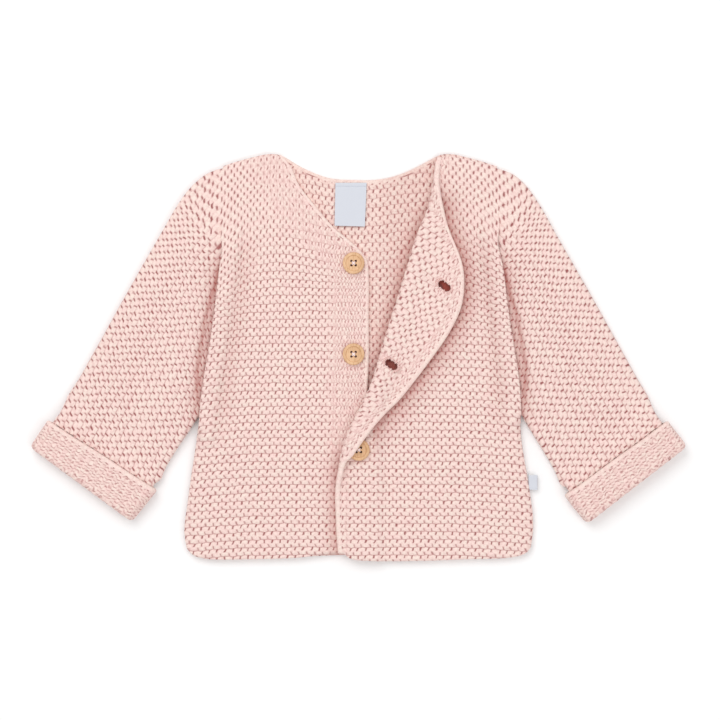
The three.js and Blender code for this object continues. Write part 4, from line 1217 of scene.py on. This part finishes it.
for node, piece in cloths.items():
    piece.data.materials.append(knits[CLOTH_SLOTS[node]])


def settle(piece):
    """Puts the piece's place, turn and size into its mesh."""
    select_only(piece)
    bpy.ops.object.transform_apply(location=True, rotation=True, scale=True)


def cut(piece, cutter, name):
    """Cuts one closed mesh out of another, whose cut faces get the cutter's material."""
    select_only(piece)
    hole = piece.modifiers.new(name, "BOOLEAN")
    hole.operation, hole.object, hole.solver = "DIFFERENCE", cutter, "EXACT"
    hole.material_mode = "TRANSFER"
    bpy.ops.object.modifier_apply(modifier=hole.name)
    select_only(cutter)
    bpy.ops.object.delete()


def cut_buttonholes(front):
    """Cuts the slots through the turned-back cloth alone."""
    for x, y in FLAP_SLITS:
        above = FRONT_Z + float(overlap_lift(x)) + WALL / 2 + 0.4
        bpy.ops.object.select_all(action="DESELECT")
        bpy.ops.mesh.primitive_cylinder_add(
            vertices=32, radius=SLIT_WIDTH / 2 * MM, depth=14 * MM,
            location=(x * MM, y * MM, (above + 7) * MM), rotation=(0, 0, SLIT_TURN),
        )
        cutter = bpy.context.object
        stretch = (SLIT_LENGTH - SLIT_WIDTH) / 2 * MM
        for vertex in cutter.data.vertices:
            vertex.co.x += stretch if vertex.co.x > 0 else -stretch
        # The slot's cut walls take the painted hole shade.
        cutter.data.materials.append(hole_shade_look)
        cut(front, cutter, "buttonhole")


cut_buttonholes(cloths["front_left"])

for node, piece in cloths.items():
    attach(piece, "root")
    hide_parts(node)


def thread_grain(length, width, height, droop, location, turn):
    """One short stitch of thread, whose ends go down into the cloth."""
    bpy.ops.object.select_all(action="DESELECT")
    bpy.ops.mesh.primitive_uv_sphere_add(segments=10, ring_count=6, radius=1, location=(0, 0, 0))
    grain = bpy.context.object
    for vertex in grain.data.vertices:
        across = vertex.co.x
        vertex.co.x = across * length / 2 * MM
        vertex.co.y *= width / 2 * MM
        vertex.co.z = (vertex.co.z * height / 2 - droop * across**2) * MM
    grain.rotation_euler = (0, 0, turn)
    grain.location = [v * MM for v in location]
    bpy.ops.object.shade_smooth()
    settle(grain)
    return grain


def join(name, pieces, look):
    """One piece of several, in one material."""
    select_only(*pieces)
    if len(pieces) > 1:
        bpy.ops.object.join()
    piece = bpy.context.object
    piece.name = piece.data.name = name
    piece.data.materials.clear()
    piece.data.materials.append(look)
    return piece


def make_buttons():
    """A turned wooden button with a rounded rim, a shallow dish and four holes, and its copies."""
    bpy.ops.object.select_all(action="DESELECT")
    bpy.ops.mesh.primitive_cylinder_add(
        vertices=72, radius=BUTTON_DIAMETER / 2 * MM, depth=BUTTON_HEIGHT * MM,
        location=(0, 0, BUTTON_HEIGHT / 2 * MM),
    )
    button = bpy.context.object
    button.data.materials.append(wood)
    settle(button)
    edit_mode("DESELECT")
    object_mode()
    for face in button.data.polygons:
        face.select = face.normal.z > 0.9
    edit_mode()
    for width, depth in BUTTON_STEPS:
        bpy.ops.mesh.inset(thickness=width * MM, depth=depth * MM)
    bpy.ops.mesh.select_all(action="DESELECT")
    bpy.ops.mesh.select_mode(type="EDGE")
    object_mode()
    radius = BUTTON_DIAMETER / 2 * MM
    for edge in button.data.edges:
        ends = [button.data.vertices[i].co for i in edge.vertices]
        on_rim = all(abs(end.xy.length - radius) < 1e-5 for end in ends)
        edge.select = on_rim and abs(ends[0].z - ends[1].z) < 1e-6
    edit_mode()
    bpy.ops.mesh.bevel(offset=BUTTON_RIM_ROUND * MM, segments=4, affect="EDGES")
    bpy.ops.mesh.select_mode(type="VERT")
    object_mode()
    drills = []
    for across in (-0.5, 0.5):
        for up in (-0.5, 0.5):
            bpy.ops.object.select_all(action="DESELECT")
            bpy.ops.mesh.primitive_cylinder_add(
                vertices=20, radius=HOLE_RADIUS * MM, depth=12 * MM,
                location=(across * HOLE_SPACING * MM, up * HOLE_SPACING * MM, 0),
            )
            drills.append(bpy.context.object)
    # The holes' cut walls take the painted hole shade.
    cut(button, join("drill", drills, hole_shade_look), "holes")
    select_only(button)
    bpy.ops.object.shade_smooth_by_angle(angle=math.radians(35))
    for name, (x, y, base) in BUTTON_PLACES.items():
        select_only(button)
        bpy.ops.object.duplicate()
        copy = bpy.context.object
        copy.name = copy.data.name = "wooden_" + name
        bottom = base + WALL / 2 + 0.3
        copy.location = (x * MM, y * MM, bottom * MM)
        settle(copy)
        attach(copy, "root")
        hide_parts(name)
        dish = bottom + BUTTON_HEIGHT - BUTTON_DISH
        cross = [
            thread_grain(3.5, 1.25, 1.1, 0.5, (x, y, dish + 0.55 + 0.25 * k), math.pi * (0.25 + 0.5 * k))
            for k in (0, 1)
        ]
        threads = join(name + "_thread", cross, button_thread)
        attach(threads, "root")
    select_only(button)
    bpy.ops.object.delete()


make_buttons()


def make_buttonhole_stitches():
    """Stitches laid round each buttonhole to bind its edge."""
    grains = []
    half, reach = (SLIT_LENGTH - SLIT_WIDTH) / 2, SLIT_WIDTH / 2 + 0.5
    for x, y in FLAP_SLITS:
        ground = slit_height(x, y)
        for k in range(SLIT_STITCHES):
            angle = math.tau * k / SLIT_STITCHES
            cosine = math.cos(angle)
            out_x = cosine * reach + math.copysign(half, cosine) * min(1, abs(cosine) * 2.5)
            out_y = math.sin(angle) * reach
            turned_x = out_x * math.cos(SLIT_TURN) - out_y * math.sin(SLIT_TURN)
            turned_y = out_x * math.sin(SLIT_TURN) + out_y * math.cos(SLIT_TURN)
            grains.append(thread_grain(
                2.4, 1.1, 1.0, 0.5, (x + turned_x, y + turned_y, ground + 0.05), angle + SLIT_TURN
            ))
    stitches = join("buttonhole_stitches", grains, pink_thread)
    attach(stitches, "root")


def slit_height(x, y):
    """Height of the turned-back cloth's upper face beside a buttonhole."""
    mesh = cloths["front_left"].data
    points = np.empty(len(mesh.vertices) * 3, np.float32)
    mesh.vertices.foreach_get("co", points)
    points = points.reshape(-1, 3) / MM
    near = np.hypot(points[:, 0] - x, points[:, 1] - y) < 6
    return float(np.percentile(points[near, 2], 96))


make_buttonhole_stitches()


def ribbon(name, columns, rows, place, thick, look):
    """A strip of satin on a grid whose points are laid by a function."""
    bpy.ops.object.select_all(action="DESELECT")
    bpy.ops.mesh.primitive_grid_add(x_subdivisions=columns, y_subdivisions=rows, size=1)
    strip = bpy.context.object
    for vertex in strip.data.vertices:
        vertex.co = [v * MM for v in place(vertex.co.x + 0.5, vertex.co.y + 0.5)]
    wall = strip.modifiers.new("wall", "SOLIDIFY")
    wall.thickness = thick * MM
    wall.offset = 0
    wall.use_even_offset = True
    bpy.ops.object.modifier_apply(modifier=wall.name)
    bpy.ops.object.shade_smooth_by_angle(angle=math.radians(50))
    strip.name = strip.data.name = name
    strip.data.materials.append(look)
    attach(strip, "root")
    return strip


def neck_label_point(a, b):
    """A point of the neck label, by shares across and up: flat, with a faint wave."""
    size = NECK_LABEL
    low_left, low_right = size["left"] - size["lean"], size["right"] - 2 * size["lean"]
    x = mix(mix(low_left, low_right, a), mix(size["left"], size["right"], a), b)
    y = mix(size["bottom"] - size["lean"] * a, size["top"], b)
    wave = 0.22 * math.sin(math.pi * a) + 0.12 * math.sin(2 * math.pi * a + 1)
    fold = 0.25 * math.exp(-((b - 0.92) / 0.012) ** 2)
    return x, y, 3.95 + 0.35 * (1 - b) ** 2 + wave * (1 - 0.6 * b) - fold


def side_label_point(a, b):
    """A point of the side label, which is folded in half round its outer end."""
    size = SIDE_LABEL
    bend = size["bend"]
    run = size["outer"] - size["inner"] - 0.5
    round_end = math.pi * bend
    along = a * (2 * run + round_end)
    if along < run:
        x, z = size["inner"] + along, bend
    elif along > run + round_end:
        x, z = size["inner"] + 2 * run + round_end - along, -bend
    else:
        angle = (along - run) / bend
        x, z = size["inner"] + run + bend * math.sin(angle), bend * math.cos(angle)
    y = mix(size["bottom"], size["top"], b)
    return x, y, size["middle"] + z + 0.12 * math.sin(0.9 * y)


neck_label = ribbon("neck_label_satin", 24, 48, neck_label_point, 0.4, satin)
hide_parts("neck_label")
side_label = ribbon("side_label_satin", 40, 14, side_label_point, 0.35, satin)
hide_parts("side_label")

label_stitches = join("label_stitches", [
    thread_grain(1.5, 0.35, 0.3, 0.12, (x, LABEL_SEWN_AT, 4.25), 0.03)
    for x in np.arange(-14.7, 5.2, 2.1)
], label_thread)
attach(label_stitches, "root")

# Floor, light and camera
CLOTH_TOP = 6 * MM
CAMERA_HEIGHT = 2.0
VIEW_WIDTH = 0.4968

bpy.ops.object.select_all(action="DESELECT")
bpy.ops.mesh.primitive_plane_add(size=6, location=(0, 0, -0.0002))
floor = bpy.context.object
floor.name = "floor"
floor_look, n, shader = new_material("floor_white")
place = n.place()
paper = n.noise(place, 30.0, 2.0)
n.link(n.blend(paper, (0.93, 0.93, 0.93, 1), (0.95, 0.95, 0.95, 1)), shader.inputs["Base Color"])
shader.inputs["Roughness"].default_value = 0.9
shader.inputs["Specular IOR Level"].default_value = 0.1
floor.data.materials.append(floor_look)

world = bpy.data.worlds.new("studio")
bpy.context.scene.world = world
world.use_nodes = True
sky = world.node_tree.nodes["Background"]
sky.inputs["Color"].default_value = (1, 1, 1, 1)
sky.inputs["Strength"].default_value = 0.72


def soft_light(name, location, size, power):
    bpy.ops.object.light_add(type="AREA", location=location)
    lamp = bpy.context.object
    lamp.name = name
    lamp.data.size = size
    lamp.data.energy = power
    lamp.rotation_euler = (-lamp.location).to_track_quat("-Z", "Y").to_euler()


soft_light("key", (-0.5, 0.8, 1.5), 1.1, 11)
soft_light("fill", (0.6, -0.5, 1.6), 1.2, 6)

bpy.ops.object.camera_add(location=(0.001035, -0.00138, CAMERA_HEIGHT))
camera = bpy.context.object
camera.name = "camera"
camera.data.sensor_width = 36
camera.data.lens = 36 * (CAMERA_HEIGHT - CLOTH_TOP) / VIEW_WIDTH
bpy.context.scene.camera = camera
bpy.context.scene.view_settings.view_transform = "Standard"
